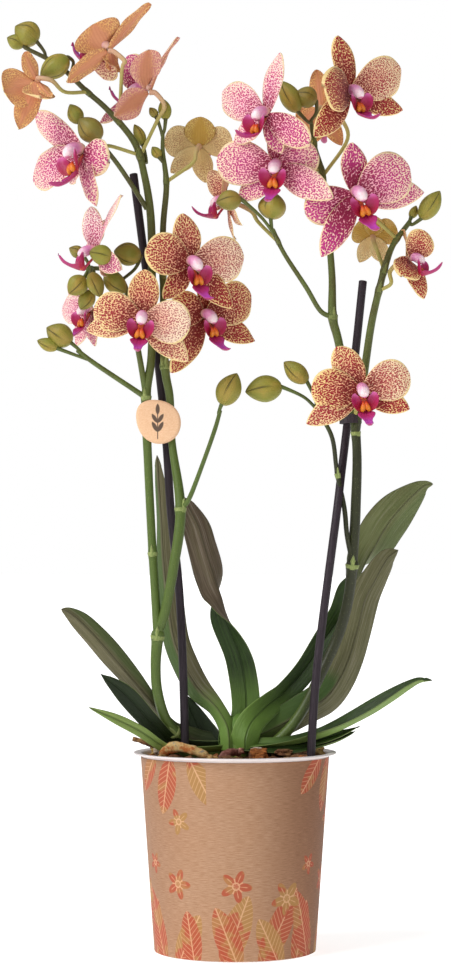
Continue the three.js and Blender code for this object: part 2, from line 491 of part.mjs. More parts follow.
// Flowers: centre and join (where the flower stalk meets its stem) as [x, z, depth]
const FLOWERS = {
  flower_left_tip: { centre: [-88.5, 387, -14], facing: [160, -10], roll: -10, size: 0.95,
    waypoint: [-76, 382, -8], join: [-65.8, 382, 0], look: 'warmPetal' },
  flower_left_top: { centre: [-56.7, 400.8, -4], facing: [-128, 0], roll: 42, size: 1.05,
    waypoint: [-50.5, 392, -6], join: [-51.5, 369.6, 0], look: 'warmPetal' },
  flower_left_side: { centre: [-38.6, 382, 0], facing: [-104, -8], roll: 24,
    waypoint: [-34.8, 369, 1], join: [-42.4, 353, 0], look: 'pinkPetal' },
  flower_left_pink: { centre: [-67.5, 354.8, -16], facing: [-38, -8], roll: -38,
    waypoint: [-56.4, 357.8, -4], join: [-43.6, 354, 0], look: 'pinkPetal' },
  flower_left_olive: { centre: [-16, 357.4, 12], facing: [178, 6], roll: 0, size: 0.82,
    waypoint: [-19, 350, 4], join: [-30, 342, 3], look: 'olivePetal' },
  flower_left_profile: { centre: [-61.4, 309.4, -22], facing: [-78, -14], roll: 0, size: 0.9,
    join: [-56.4, 302, -5], look: 'pinkPetal' },
  flower_left_behind: { centre: [-64, 284, 10], facing: [-48, 0], roll: 0, size: 0.84,
    join: [-47, 284, -3], look: 'pinkPetal' },
  flower_left_front: { centre: [-41.4, 280.2, -26], facing: [0, 0], roll: 6,
    join: [-37.1, 290, 0], look: 'warmPetal' },
  flower_middle_upper: { centre: [-20.4, 304.8, -14], facing: [14, -6], roll: -8, size: 1.04,
    join: [-32, 300, 3], look: 'warmPetal' },
  flower_middle_lower: { centre: [-14, 281.2, 0], facing: [24, -6], roll: -14, size: 0.98,
    waypoint: [-20, 268, 6], join: [-31.2, 259, 1], look: 'warmPetal' },
  flower_middle_profile: { centre: [-3.2, 332.4, 8], facing: [-80, -12], roll: 0, size: 0.84,
    join: [19, 315, -3], look: 'warmPetal' },
  flower_right_pink_upper: { centre: [14.4, 371.6, -20], facing: [-24, -2], roll: 10,
    join: [35.4, 359, 2], look: 'pinkPetal' },
  flower_right_pink_lower: { centre: [19, 348, -12], facing: [-4, -4], roll: 4, size: 1.04,
    join: [38.6, 347, 2], look: 'pinkPetal' },
  flower_right_top: { centre: [50.8, 381.2, -14], facing: [24, -4], roll: -14,
    waypoint: [50.4, 361, -2], join: [39.2, 344, 2], look: 'warmPetal' },
  flower_right_hidden: { centre: [38.6, 374.4, 14], facing: [172, 0], roll: 0, size: 0.86,
    join: [35.4, 359, 2], look: 'warmPetal' },
  flower_right_large: { centre: [53.8, 335.8, -16], facing: [10, -4], roll: -24, size: 1.1,
    join: [72.4, 316, -1], look: 'pinkPetal' },
  flower_right_profile: { centre: [77.1, 306.4, -6], facing: [66, -8], roll: 14, size: 0.84,
    waypoint: [69.6, 296, -4], join: [64.6, 293, -1], look: 'warmPetal' },
  flower_right_olive: { centre: [61.6, 317, 12], facing: [176, 16], roll: 0, size: 0.62, opening: 0.75,
    join: [66.6, 302, -1], look: 'olivePetal' },
  flower_right_front: { centre: [56.2, 248, -20], facing: [6, -2], roll: -6,
    join: [53.4, 236, 0], look: 'warmPetal' },
};

// Loose pieces on the bark at the pot's lip
const CHIPS = {
  bark_chip_pale: { centre: [-33.6, 88.6, 12], size: [9, 7, 7], turn: -20, tilt: -20, look: 'barkPale' },
  bark_chip_orange: { centre: [10.3, 86, -17], size: [10, 9, 8], turn: 8, tilt: 4, look: 'barkOrange' },
  bark_chip_right: { centre: [36, 87.6, 6], size: [8, 9, 6.5], turn: 30, tilt: -12, look: 'barkPale' },
};

const ROOTS = {
  bark_stick: { places: [[-45.4, 93.6, 0], [-38, 91.6, 0], [-31, 88.4, 2], [-27, 84, 4]],
    radii: [0.9, 1.4, 1.4, 1.2], look: 'barkBrown' },
  root_arched: { places: [[-31.5, 85, -9], [-29, 90, -12], [-21, 92, -14], [-14.5, 88.5, -15], [-12, 84.6, -15]],
    radii: [2.6, 2.9, 2.6, 2.2, 1.8], look: 'barkOrange' },
  root_short: { places: [[2, 88, -9], [-3, 88.2, -16], [-6.5, 84.8, -19]], radii: [1.7, 1.7, 1.4], look: 'root' },
};

function stemSolid({ rows, buds = [] }, swell = 0) {
  const places = rows.map(([x, z, depth]) => at(x, z, depth));
  const stem = stalk(places, rows.map((row) => row[3]), { swell, steps: Math.round(1.6 * rows.length) });
  const grown = buds.map(({ from, base, tip, width }) =>
    bud({ from: at(...from), base: at(...base), tip: at(...tip), width }, swell));
  return joined([stem, ...grown]);
}

function stickSolid(rows, swell = 0) {
  const places = rows.map((row) => at(...row));
  return stalk(places, places.map(() => STICK_RADIUS), { swell, steps: rows.length + 3, sides: 8 });
}

function placedFlower(row, swell = 0) {
  const placed = { ...row, centre: at(...row.centre), join: at(...row.join) };
  if (row.waypoint) placed.waypoint = at(...row.waypoint);
  return flower(placed, swell);
}

function crownSolid(swell = 0) {
  const places = [[1, 0, 60], [1, 0, 84], [1.4, 0, 90], [1.8, 0.6, 95], [2.4, 2.4, 102]]
    .map((place) => new THREE.Vector3(...place));
  return stalk(places, [5, 7.6, 8.2, 7.4, 3.4], { swell, steps: 8, sides: 10 });
}

const pieces = []; // each with its name, its look, its place and a maker that can swell it

function piece(name, look, place, make) {
  pieces.push({ name, look, place, make });
}

piece('pot', 'potWhite', at(0, 0), () => pot());
piece('pot_label', 'labelBrown', at(0, 0), () => potLabel());
for (const [name, rows] of Object.entries(STICKS)) {
  piece(name, 'stick', at(...rows.at(-1)), (swell) => stickSolid(rows, swell));
}
piece('crown', 'crown', at(1, 60), crownSolid);
for (const [name, row] of Object.entries(STEMS)) {
  piece(name, 'stem', at(...row.rows[0].slice(0, 3)), (swell) => stemSolid(row, swell));
}
const clipPlaces = [at(50.2, 235.5, 6.5), at(52.8, 235.5, 0.6)];
piece('stem_clip', 'stick', clipPlaces[0], (swell) => clip(...clipPlaces, 2.8, swell));
for (const [name, rows] of Object.entries(LEAVES)) {
  piece(name, 'leaf', at(...rows[0].slice(0, 3)), (swell) => leaf(rows, swell));
}
const tagPlace = at(-34.4, 234.7, -2.6);
piece('card_tag', 'tag', tagPlace, (swell) => cardTag(tagPlace, 48, swell));
for (const [name, row] of Object.entries(ROOTS)) {
  piece(name, row.look, at(...row.places[0]), (swell) =>
    stalk(row.places.map((place) => at(...place)), row.radii, { swell, sides: 7 }));
}
for (const [name, row] of Object.entries(CHIPS)) {
  const centre = at(...row.centre);
  piece(name, row.look, centre, (swell) => chip({ ...row, centre }, swell));
}
piece('growing_bark', 'barkBrown', at(0, 0), () => growingBark());
for (const [name, row] of Object.entries(FLOWERS)) {
  piece(name, row.look, at(...row.centre), (swell) => placedFlower(row, swell));
}

function boxesMeet(first, second) {
  const a = first.boundingBox();
  const b = second.boundingBox();
  return [0, 1, 2].every((axis) => a.min[axis] < b.max[axis] && b.min[axis] < a.max[axis]);
}

function largest(solid) {
  return solid.decompose().reduce((best, part) => (part.volume() > best.volume() ? part : best));
}

// Each piece gives way to the ones before it, with a gap between them
const plant = new THREE.Group();
const made = [];
for (const { name, look, place, make } of pieces) {
  let solid = make(0);
  for (const earlier of made) {
    if (boxesMeet(solid, earlier.swollen)) solid = solid.subtract(earlier.swollen);
  }
  solid = largest(solid.simplify(SLIVER));
  made.push({ name, swollen: make(GAP) });
  const material = new THREE.MeshStandardMaterial({ ...LOOKS[look], metalness: 0 });
  const mesh = new THREE.Mesh(geometryOf(solid).translate(-place.x, -place.y, -place.z), material);
  mesh.name = name;
  mesh.position.copy(place);
  plant.add(mesh);
}

export default plant;
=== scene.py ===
# A potted moth orchid in its looks: flowers, buds, stems, leaves, sticks, bark, pot, label and card tag.
# Places and sizes are in millimetres until a piece is made. +Z is up and +Y points away from the viewer.
import math
import random

import bmesh
import bpy
import numpy as np
from mathutils import Matrix, Vector, noise


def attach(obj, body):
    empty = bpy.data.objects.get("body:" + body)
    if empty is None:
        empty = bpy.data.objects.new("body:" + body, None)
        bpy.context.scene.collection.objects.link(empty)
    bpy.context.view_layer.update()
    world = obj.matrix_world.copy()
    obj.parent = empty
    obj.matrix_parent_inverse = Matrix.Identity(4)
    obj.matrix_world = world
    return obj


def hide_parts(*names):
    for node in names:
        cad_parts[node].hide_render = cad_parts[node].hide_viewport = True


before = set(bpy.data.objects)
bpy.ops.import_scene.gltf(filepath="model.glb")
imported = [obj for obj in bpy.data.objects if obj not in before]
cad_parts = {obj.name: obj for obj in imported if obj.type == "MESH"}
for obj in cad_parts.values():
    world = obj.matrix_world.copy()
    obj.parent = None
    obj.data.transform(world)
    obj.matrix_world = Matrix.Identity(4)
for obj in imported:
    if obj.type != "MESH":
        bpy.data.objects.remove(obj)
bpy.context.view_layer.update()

MM = 0.001
GAP = 0.3  # between two pieces that touch
POT = {"height": 88, "base_radius": 35.2, "top_radius": 41.3, "wall": 0.9, "lip": 45, "lip_drop": 1.8}
LABEL = {"thickness": 0.4, "bottom": 0.6, "top": 85.9}
FILL = {"floor": 2.2, "side": 82.4, "middle": 83, "chips": 83.6, "chips_reach": 36}
STICK_RADIUS = 1.85
STICK_FOOT = 14  # height of the sticks' lower ends
TAG = {"width": 17.5, "height": 21.5, "thickness": 0.5, "centre": [-34.4, 234.7, -2.6], "tilt": 48}
LEAF_THICKNESS = 1.6
PETAL_THICKNESS = 0.7
FLOWER_SPAN = 43
FLOOR_RADIUS = 60  # metres

# Places in the lists below are [x, z, depth] as seen from the front, read in the upright plane through the
# pot's axis. at() slides such a place along its line of sight to its own depth.
EYE = np.array([-4.2, -1130.0, 169.0])
EYE_PITCH = 1.95  # degrees above level
EYE_LENS = 94.9  # millimetres


def at(x, z, depth=0.0):
    slide = 1 + depth / -EYE[1]
    return np.array([EYE[0] + (x - EYE[0]) * slide, depth, EYE[2] + (z - EYE[2]) * slide])


def unit(vectors):
    vectors = np.asarray(vectors, float)
    return vectors / np.linalg.norm(vectors, axis=-1, keepdims=True)


def between(rows, steps):
    """Smooth rows of numbers through the given ones, with this many steps from each to the next."""
    rows = np.array(rows, float)
    padded = np.vstack([2 * rows[0] - rows[1], rows, 2 * rows[-1] - rows[-2]])
    smooth = []
    for start in range(len(rows) - 1):
        before, here, there, after = padded[start:start + 4]
        for share in np.arange(steps) / steps:
            smooth.append(0.5 * (2 * here + (there - before) * share
                                 + (2 * before - 5 * here + 4 * there - after) * share ** 2
                                 + (3 * here - before - 3 * there + after) * share ** 3))
    smooth.append(rows[-1])
    return np.array(smooth)


def thick_path(places, radii, steps):
    """Smooth rows of [x, y, z, radius] through these places."""
    return between([[*place, radius] for place, radius in zip(places, radii)], steps)


def rounded_end(point, way, radius, reach, ends):
    """Rows of [x, y, z, radius] that round off a path's end. Each of ends is how far past it, as a share of
    reach, and a share of radius."""
    return [[*(point + way * rise * reach), radius * part] for rise, part in ends]


def axes_along(path):
    """At each point of a path: the way along it, and two ways square to it that never twist."""
    along = unit(np.gradient(path, axis=0))
    side = np.array([0.3, 0.9, 0.2])
    sides = []
    for way in along:
        side = unit(side - way * side.dot(way))
        sides.append(side)
    sides = np.array(sides)
    return along, sides, np.cross(along, sides)


# Materials

class Amount:
    """A number or colour that varies over a surface. Arithmetic on it adds Math nodes."""

    def __init__(self, finish, socket):
        self.finish = finish
        self.socket = socket

    def math(self, operation, *others):
        values = dict(enumerate((self, *others)))
        return self.finish.node("ShaderNodeMath", {"operation": operation}, values)

    def after(self, operation, other):
        return self.finish.node("ShaderNodeMath", {"operation": operation}, {0: other, 1: self})

    def __add__(self, other):
        return self.math("ADD", other)

    def __sub__(self, other):
        return self.math("SUBTRACT", other)

    def __mul__(self, other):
        return self.math("MULTIPLY", other)

    def __truediv__(self, other):
        return self.math("DIVIDE", other)

    def __pow__(self, other):
        return self.math("POWER", other)

    def __mod__(self, other):
        return self.math("FLOORED_MODULO", other)

    def __rsub__(self, other):
        return self.after("SUBTRACT", other)

    def __rtruediv__(self, other):
        return self.after("DIVIDE", other)

    def __abs__(self):
        return self.math("ABSOLUTE")

    __radd__ = __add__
    __rmul__ = __mul__


def colour(text):
    """A daylight colour such as "f2d498" as the renderer's own numbers."""
    parts = [int(text[start:start + 2], 16) / 255 for start in (0, 2, 4)]
    return [part / 12.92 if part <= 0.04045 else ((part + 0.055) / 1.055) ** 2.4 for part in parts] + [1]


# How deep light goes under the skin of stems and leaves, and of buds and flower stalks
GREEN_DEPTH = {"subsurface_radius": (0.002, 0.003, 0.001), "subsurface_scale": 0.3}
PALE_GREEN_DEPTH = {"subsurface_radius": (0.003, 0.003, 0.001), "subsurface_scale": 0.3}


class Finish:
    """A material made of nodes, with the few calls that this plant's finishes share. numbers are sockets of
    the shader that are the same all over, such as coat_weight for Coat Weight."""

    def __init__(self, name, ior=1.36, **numbers):
        self.material = bpy.data.materials.new(name)
        self.material.use_nodes = True
        self.tree = self.material.node_tree
        self.shader = self.tree.nodes["Principled BSDF"]
        self.shader.inputs["IOR"].default_value = ior
        for socket, value in numbers.items():
            self.shader.inputs[socket.replace("_", " ").title()].default_value = value

    def node(self, kind, settings=None, sockets=None, output=0):
        made = self.tree.nodes.new(kind)
        for setting, value in (settings or {}).items():
            setattr(made, setting, value)
        for place, value in (sockets or {}).items():
            socket = made.inputs[place]
            if isinstance(value, Amount):
                self.tree.links.new(value.socket, socket)
            else:
                socket.default_value = colour(value) if isinstance(value, str) else value
        return Amount(self, made.outputs[output])

    def put(self, socket, value):
        self.tree.links.new(value.socket, self.shader.inputs[socket])

    def mark(self, name):
        return self.node("ShaderNodeAttribute", {"attribute_name": name}, output=2)

    def place(self):
        """Where a point of the piece is, in millimetres."""
        metres = self.node("ShaderNodeTexCoord", output=3)
        return self.scaled(metres, (1000, 1000, 1000))

    def scaled(self, vector, factors):
        return self.node("ShaderNodeVectorMath", {"operation": "MULTIPLY"}, {0: vector, 1: factors})

    def part(self, vector, axis):
        return self.node("ShaderNodeSeparateXYZ", sockets={0: vector}, output="XYZ".index(axis))

    def vector(self, x, y, z=0.0):
        return self.node("ShaderNodeCombineXYZ", sockets={0: x, 1: y, 2: z})

    def cloud(self, vector, scale, detail=3.0, rough=0.55, warp=0.0):
        sockets = {"Vector": vector, "Scale": scale, "Detail": detail, "Roughness": rough, "Distortion": warp}
        return self.node("ShaderNodeTexNoise", sockets=sockets)

    def cells(self, vector, scale, loose=0.9, flat=False):
        sockets = {"Vector": vector, "Scale": scale, "Randomness": loose}
        return self.node("ShaderNodeTexVoronoi", {"voronoi_dimensions": "2D" if flat else "3D"}, sockets)

    def step(self, value, low, high):
        """0 at low and 1 at high, with a soft change between them."""
        settings = {"interpolation_type": "SMOOTHSTEP"}
        return self.node("ShaderNodeMapRange", settings, {0: value, 1: low, 2: high})

    def stripes(self, value, low, high):
        """Lines a unit of value apart, with a soft edge from low to high."""
        return self.step(abs(value % 1.0 - 0.5), low, high)

    def mix(self, share, first, second):
        return self.node("ShaderNodeMix", {"data_type": "RGBA"}, {0: share, 6: first, 7: second}, 2)

    def bump(self, height, depth):
        """Raises the surface by height times depth, in millimetres."""
        sockets = {"Strength": 1.0, "Distance": depth * MM, "Height": height}
        self.put("Normal", self.node("ShaderNodeBump", sockets=sockets))


def petal_finish(name, ground, inner_ground, pale_ground, spot, deep, rim, back, blush):
    """Spots in rows that run outwards, solid near the middle and small near the pale rim. The back is plain,
    with the spots faintly through it."""
    f = Finish(name, subsurface_weight=0.1, subsurface_radius=(0.004, 0.002, 0.0015), subsurface_scale=0.3,
               sheen_weight=0.08)
    share, edge, front = f.mark("share"), f.mark("edge"), f.mark("front")
    along, across, pick = f.mark("along"), f.mark("across"), f.mark("pick")
    cover, pale = f.mark("cover"), f.mark("pale")
    ahead = along + 2.0
    out = (ahead ** 2.0 + across * across) ** 0.5
    arc = out * across.math("ARCTAN2", ahead)
    patches = f.cloud(f.vector(along, across, pick * 17), 0.2, 2.0)
    grain = f.cloud(f.vector(along, across, pick * 9), 1.2, 2.0)
    dots = f.cells(f.vector(out * 0.75 + pick * 61, arc * 1.15 + pick * 37), 1.38, 0.85, flat=True)
    outside = f.step(share, 0.35, 1.0) * 0.09 + f.step(edge, 0.5, 1.0) * 0.09
    reach = cover * 0.36 + 0.27 + (patches - 0.5) * 0.3 - outside + f.step(share, 0.4, 0.1) * 0.08
    spots = f.step(dots + (grain - 0.5) * 0.35, reach + 0.06, reach - 0.06)
    lines = f.stripes(arc * 0.8, 0.22, 0.05) * f.step(share, 0.5, 0.12)
    rosy = f.step(share + edge * 0.35 + (patches - 0.5) * 0.5, 0.95, 0.35)
    # pale paints light: a paler, less rosy ground and softer spots, front and back, on tepals that are lit
    # and let light through.
    ground_here = f.mix(rosy * (0.8 - pale * 0.35), f.mix(pale, ground, pale_ground), inner_ground)
    inner = f.step(share + (cover - 0.5) * -0.5, 0.6, 0.1)
    spot_here = f.mix(inner, f.mix(pale * 0.5, spot, "b8405e"), deep)
    inked = f.mix(spots * (1 - pale * 0.08), ground_here, spot_here)
    inked = f.mix(lines * 0.6, inked, deep)
    inked = f.mix(f.step(edge + share ** 6.0 * 0.3, 0.93, 1.0) * 0.85, inked, rim)
    rear = f.mix(f.step(edge + share * 0.45 + (patches - 0.5) * 0.6, 0.95, 0.35) * 0.8, back, blush)
    rear = f.mix(f.step(edge + share * 0.5, 0.5, 1.1) * 0.6, rear, ground)
    mottled = f.step(dots, 0.5, 0.38) * f.step(edge + share * 0.4, 0.3, 0.9)
    rear = f.mix(mottled * 0.7, rear, f.mix(0.65, blush, spot))
    rear = f.mix(f.stripes(arc * 0.55, 0.1, 0.02) * 0.2, rear, blush)
    pale_rear = f.mix(spots * f.step(share, 0.1, 0.7) * 0.7, f.mix(rosy * 0.4, pale_ground, blush), spot)
    rear = f.mix(f.step(pale, 0.55, 0.75), rear, pale_rear)
    f.put("Base Color", f.mix(front, rear, inked))
    f.put("Roughness", 0.5 + grain * 0.2)
    f.bump(f.stripes(arc * 0.7, 0.0, 0.5) * 0.4 + patches * 3.0 + grain * 0.4, 0.16)
    return f.material


def lip_lobe_finish(name, stops, streak, under=0.0):
    """Colours that run from a lobe's foot to its tip, with darker streaks, and crimson underneath."""
    f = Finish(name, subsurface_weight=0.1, subsurface_radius=(0.004, 0.0015, 0.002), subsurface_scale=0.3,
               coat_weight=0.15, coat_roughness=0.3)
    share, across, along, pick = f.mark("share"), f.mark("across"), f.mark("along"), f.mark("pick")
    tint = stops[0][1]
    for (low, _), (high, after) in zip(stops, stops[1:]):
        tint = f.mix(f.step(share, low, high), tint, after)
    specks = f.cells(f.vector(along, across, pick * 30), 1.6)
    lines = f.stripes(across / (along + 3.0) * 10.0, 0.2, 0.05) * f.step(share, 0.75, 0.2)
    tint = f.mix(lines * 0.5, tint, streak)
    tint = f.mix(f.step(specks, 0.3, 0.2) * f.step(share, 0.6, 0.1) * 0.6, tint, streak)
    tint = f.mix((1 - f.mark("front")) * under, tint, "a4284e")
    f.put("Base Color", tint)
    f.put("Roughness", 0.32 + specks * 0.15)
    f.bump(lines * -0.5 + specks * 0.5, 0.1)
    return f.material


def column_finish():
    """The waxy middle of a flower: violet pink behind, a white cap in front."""
    f = Finish("column_white_pink", subsurface_weight=0.15, subsurface_radius=(0.004, 0.002, 0.002),
               subsurface_scale=0.3, coat_weight=0.2, coat_roughness=0.25)
    share, spot = f.mark("share"), f.cells(f.place(), 1.3)
    blush = f.cloud(f.place(), 0.5)
    tint = f.mix(f.step(share + blush * 0.4, 0.95, 0.6), "f4dfe2", "d884b4")
    tint = f.mix(f.step(share, 0.4, 0.15), tint, "dfae9c")
    tint = f.mix(f.step(share + blush * 0.1, 0.86, 0.97) * 0.8, tint, "c23a86")
    f.put("Base Color", f.mix(f.step(spot, 0.25, 0.12) * 0.3, tint, "b02a70"))
    f.put("Roughness", 0.35 + blush * 0.15)
    f.bump(blush, 0.15)
    return f.material


def stalk_finish():
    """Flower stalks: pale olive green at the stem, tan and pink at the flower."""
    f = Finish("flower_stalk", subsurface_weight=0.1, coat_weight=0.1, coat_roughness=0.4, **PALE_GREEN_DEPTH)
    place, share = f.place(), f.mark("share")
    streaks = f.cloud(f.scaled(place, (2.2, 2.2, 0.5)), 1.0, 4.0)
    tint = f.mix(f.step(share + streaks * 0.3, 0.15, 0.7), "cfa286", "a8a058")
    f.put("Base Color", f.mix(f.step(streaks, 0.5, 0.75) * 0.5, tint, "b09060"))
    f.put("Roughness", 0.45 + streaks * 0.2)
    f.bump(streaks, 0.2)
    return f.material


def stem_finish():
    """Stems: fresh green low down, olive and plum brown above, with fine streaks, pale flecks and painted
    shade low on the stems at the right.
    """
    f = Finish("stem_green_to_olive", subsurface_weight=0.05, coat_weight=0.2, coat_roughness=0.3,
               **GREEN_DEPTH)
    place = f.place()
    height = f.part(place, "Z")
    streaks = f.cloud(f.scaled(place, (3.0, 3.0, 0.25)), 1.0, 4.0)
    blotches = f.cloud(f.scaled(place, (1.0, 1.0, 0.35)), 0.16, 3.0)
    flecks = f.cells(f.scaled(place, (1.0, 1.0, 0.6)), 1.3)
    green = f.mix(streaks, "3d521e", "60732f")
    olive = f.mix(f.step(blotches, 0.35, 0.65), "4d4c20", "5a662e")
    brown = f.mix(streaks, "43391f", "5c5430")
    tint = f.mix(f.step(height + blotches * 70, 230, 330), green, olive)
    tint = f.mix(f.step(height + blotches * 60, 350, 440) * 0.75, tint, brown)
    # Painted shade: the stems at the right, below about 255 mm, are darkened almost to black green.
    painted_shade = f.step(f.part(place, "X"), 22, 38) * f.step(height + blotches * 30, 275, 235)
    tint = f.mix(painted_shade * 0.95, tint, f.mix(streaks, "1b1c09", "303218"))
    f.put("Base Color", f.mix(f.step(flecks, 0.2, 0.08) * 0.3, tint, "a9a873"))
    f.put("Roughness", 0.38 + streaks * 0.2)
    f.bump(streaks, 0.16)
    return f.material


def bract_finish():
    """The papery scales and collars at a stem's joints: pale low down, olive brown above."""
    f = Finish("bract_papery", sheen_weight=0.1)
    place = f.place()
    fibre = f.cloud(f.scaled(place, (4.0, 4.0, 0.6)), 1.0, 4.0)
    worn = f.step(fibre, 0.35, 0.7)
    high = f.step(f.part(place, "Z"), 240, 320)
    f.put("Base Color", f.mix(high * 0.85, f.mix(worn, "77894a", "9ca466"), f.mix(worn, "4c5124", "6a6a32")))
    f.put("Roughness", 0.6 + fibre * 0.2)
    f.bump(fibre, 0.15)
    return f.material


def bud_finish():
    """Buds: olive green, yellower where they catch light, with dark seams between their outer leaves."""
    f = Finish("bud_olive", subsurface_weight=0.12, coat_weight=0.1, coat_roughness=0.35, **PALE_GREEN_DEPTH)
    place, share, keel, pick = f.place(), f.mark("share"), f.mark("keel"), f.mark("pick")
    blush = f.cloud(place, 0.22, 3.0)
    specks = f.cells(place, 1.7)
    # Painted highlight: yellower patches where a bud is taken to catch light, placed by noise.
    tint = f.mix(f.step(blush + pick * 0.3, 0.4, 0.85), "918a34", "a89040")
    tint = f.mix(f.step(keel, 0.5, 1.0) * 0.5, tint, "778230")
    tint = f.mix(f.step(share, 0.5, 1.0) * 0.5, tint, "6c6628")
    tint = f.mix(f.step(pick, 0.6, 0.9) * 0.5, tint, "6b5f2c")
    tint = f.mix(f.step(specks, 0.22, 0.1) * 0.25, tint, "7c5436")
    seam = f.step(keel, 0.16, 0.04) * f.step(share, 0.2, 0.6)
    tint = f.mix(seam * 0.75, tint, "45401c")
    f.put("Base Color", f.mix(f.step(share, 0.12, 0.0) * 0.5, tint, "9c9658"))
    f.put("Roughness", 0.42 + blush * 0.2)
    ribs = abs((keel * 5.0) % 1.0 - 0.5)
    f.bump(blush + specks * 0.3 - seam + ribs * 0.5, 0.3)
    return f.material


def leaf_finish():
    """Leaves: satin dark green above, dull green to plum brown below, with a fine midrib and a thin rim."""
    f = Finish("leaf_two_sided", coat_weight=0.04, coat_roughness=0.35, subsurface_weight=0.02, **GREEN_DEPTH)
    share, edge, front = f.mark("share"), f.mark("edge"), f.mark("front")
    along, across, pick = f.mark("along"), f.mark("across"), f.mark("pick")
    brown, bright_foot = f.mark("brown"), f.mark("bright_foot")
    green_half, green_reach, pale = f.mark("green_half"), f.mark("green_reach"), f.mark("pale")
    lines = f.cloud(f.vector(along * 0.04, across * 1.6, pick * 30), 1.0, 4.0, 0.6)
    fine = f.cloud(f.vector(along * 0.3, across * 7.0, pick * 30), 1.0, 2.0)
    patches = f.cloud(f.vector(along * 0.05, across * 0.2, pick * 30), 1.0, 3.0)
    midrib = f.step(abs(across), 0.55, 0.1)
    foot = f.step(share + patches * 0.1, 0.34, 0.12)
    # Where bright_foot is 1 the foot has its own bright green; where it is 0 the foot is painted in shade,
    # near black green.
    foot_tint_and_shade = f.mix(bright_foot, "1d2b10", "6a8a3a")
    upper = f.mix(f.step(lines, 0.3, 0.75), "1c2c08", "2e4615")
    upper = f.mix(f.step(patches, 0.45, 0.8) * 0.5, upper, "3d581f")
    upper = f.mix(pale, upper, f.mix(lines, "66803a", "8a9c54"))
    # Below 0, pale paints shade on the upper side, darkening it towards near black green.
    upper = f.mix(pale * -1, upper, f.mix(lines, "0b1403", "18280a"))
    upper = f.mix(foot * 0.85, upper, foot_tint_and_shade)
    upper = f.mix(midrib * 0.45, upper, "1a290a")
    plain_lower = f.mix(lines, "5f7a38", "86a055")
    lower = f.mix(brown, plain_lower, f.mix(f.step(lines, 0.35, 0.65), "524534", "6e6150"))
    lower = f.mix(f.step(patches, 0.45, 0.8) * 0.5, lower, "5e5c36")
    lower = f.mix(f.step(lines, 0.56, 0.72) * 0.45 * brown, lower, "988e84")
    greener = f.step(across * green_half, 0.2, 1.4) * f.step(abs(green_half), 0.0, 1.0)
    greener = greener * f.step(share - green_reach, 0.04, -0.04)
    lower = f.mix(greener, lower, f.mix(lines, "334a18", "4c6830"))
    lower = f.mix(foot * 0.85, lower, foot_tint_and_shade)
    lower = f.mix(midrib * 0.5, lower, "45422c")
    tint = f.mix(front, lower, upper)
    f.put("Base Color", f.mix(f.step(edge, 0.96, 0.99) * 0.6, tint, f.mix(front, "33271e", "93a860")))
    f.put("Roughness", 0.42 + fine * 0.12 + (1 - front) * 0.12)
    f.bump(lines * 0.6 + fine * 0.4 - midrib * (front * 2.0 - 1.0), 0.4)
    return f.material


def crown_finish():
    """The crown's sheaths: pale yellow green at the foot, greener above, with long fine ribs."""
    f = Finish("crown_green", coat_weight=0.15, coat_roughness=0.3, subsurface_weight=0.05, **GREEN_DEPTH)
    place = f.place()
    height = f.part(place, "Z")
    ribs = f.cloud(f.scaled(place, (1.6, 1.6, 0.12)), 1.0, 4.0)
    tint = f.mix(f.step(height + ribs * 6, 86, 97), "8a9a4c", "628436")
    f.put("Base Color", f.mix(f.step(ribs, 0.5, 0.75) * 0.6, tint, "46662a"))
    f.put("Roughness", 0.38 + ribs * 0.2)
    f.bump(ribs, 0.3)
    return f.material


def stick_finish():
    """Dark plum sticks and clip: satin plastic with faint drawn lines."""
    f = Finish("stick_dark_plum", coat_weight=0.03)
    place = f.place()
    drawn = f.cloud(f.scaled(place, (2.5, 2.5, 0.05)), 1.0, 4.0)
    dust = f.cloud(place, 0.6, 4.0)
    tint = f.mix(f.step(drawn, 0.3, 0.75), "221a20", "362b34")
    f.put("Base Color", f.mix(f.step(dust, 0.6, 0.8) * 0.25, tint, "554b53"))
    f.put("Roughness", 0.42 + drawn * 0.2)
    f.bump(drawn, 0.08)
    return f.material


def pot_finish():
    """The pot's white plastic, with a faint moulded unevenness and faint greyish scuffs all over."""
    f = Finish("pot_white_plastic", subsurface_weight=0.05, subsurface_radius=(0.002, 0.002, 0.002),
               subsurface_scale=0.5, coat_weight=0.1, coat_roughness=0.2)
    place = f.place()
    moulded = f.cloud(place, 0.05, 3.0)
    scuffs = f.cloud(f.scaled(place, (1.0, 1.0, 3.0)), 0.5, 5.0, 0.7)
    tint = f.mix(f.step(moulded, 0.3, 0.7), "dcd3d3", "e6dedc")
    f.put("Base Color", f.mix(f.step(scuffs, 0.62, 0.8) * 0.3, tint, "c9bcb6"))
    f.put("Roughness", 0.34 + scuffs * 0.15)
    f.bump(moulded + scuffs * 0.1, 0.05)
    return f.material


def printed_leaf(f, right, up, foot, lean, length, width):
    """Where a printed leaf has ink, from 0 to 1, and where its pale veins run."""
    cos, sin = math.cos(math.radians(lean)), math.sin(math.radians(lean))
    along = (right - foot[0]) * cos + (up - foot[1]) * sin
    aside = abs((up - foot[1]) * cos - (right - foot[0]) * sin)
    share = along / length
    half = (share * (1 - share)).math("MAXIMUM", 0.0) ** 0.7 * (width * 1.32)
    ink = f.step(half - aside, 0.0, 0.35)
    midrib = f.step(aside, 0.45, 0.15)
    side_veins = f.stripes((along - aside * 0.9) / 2.3, 0.14, 0.04)
    return ink, midrib.math("MAXIMUM", side_veins * 0.7)


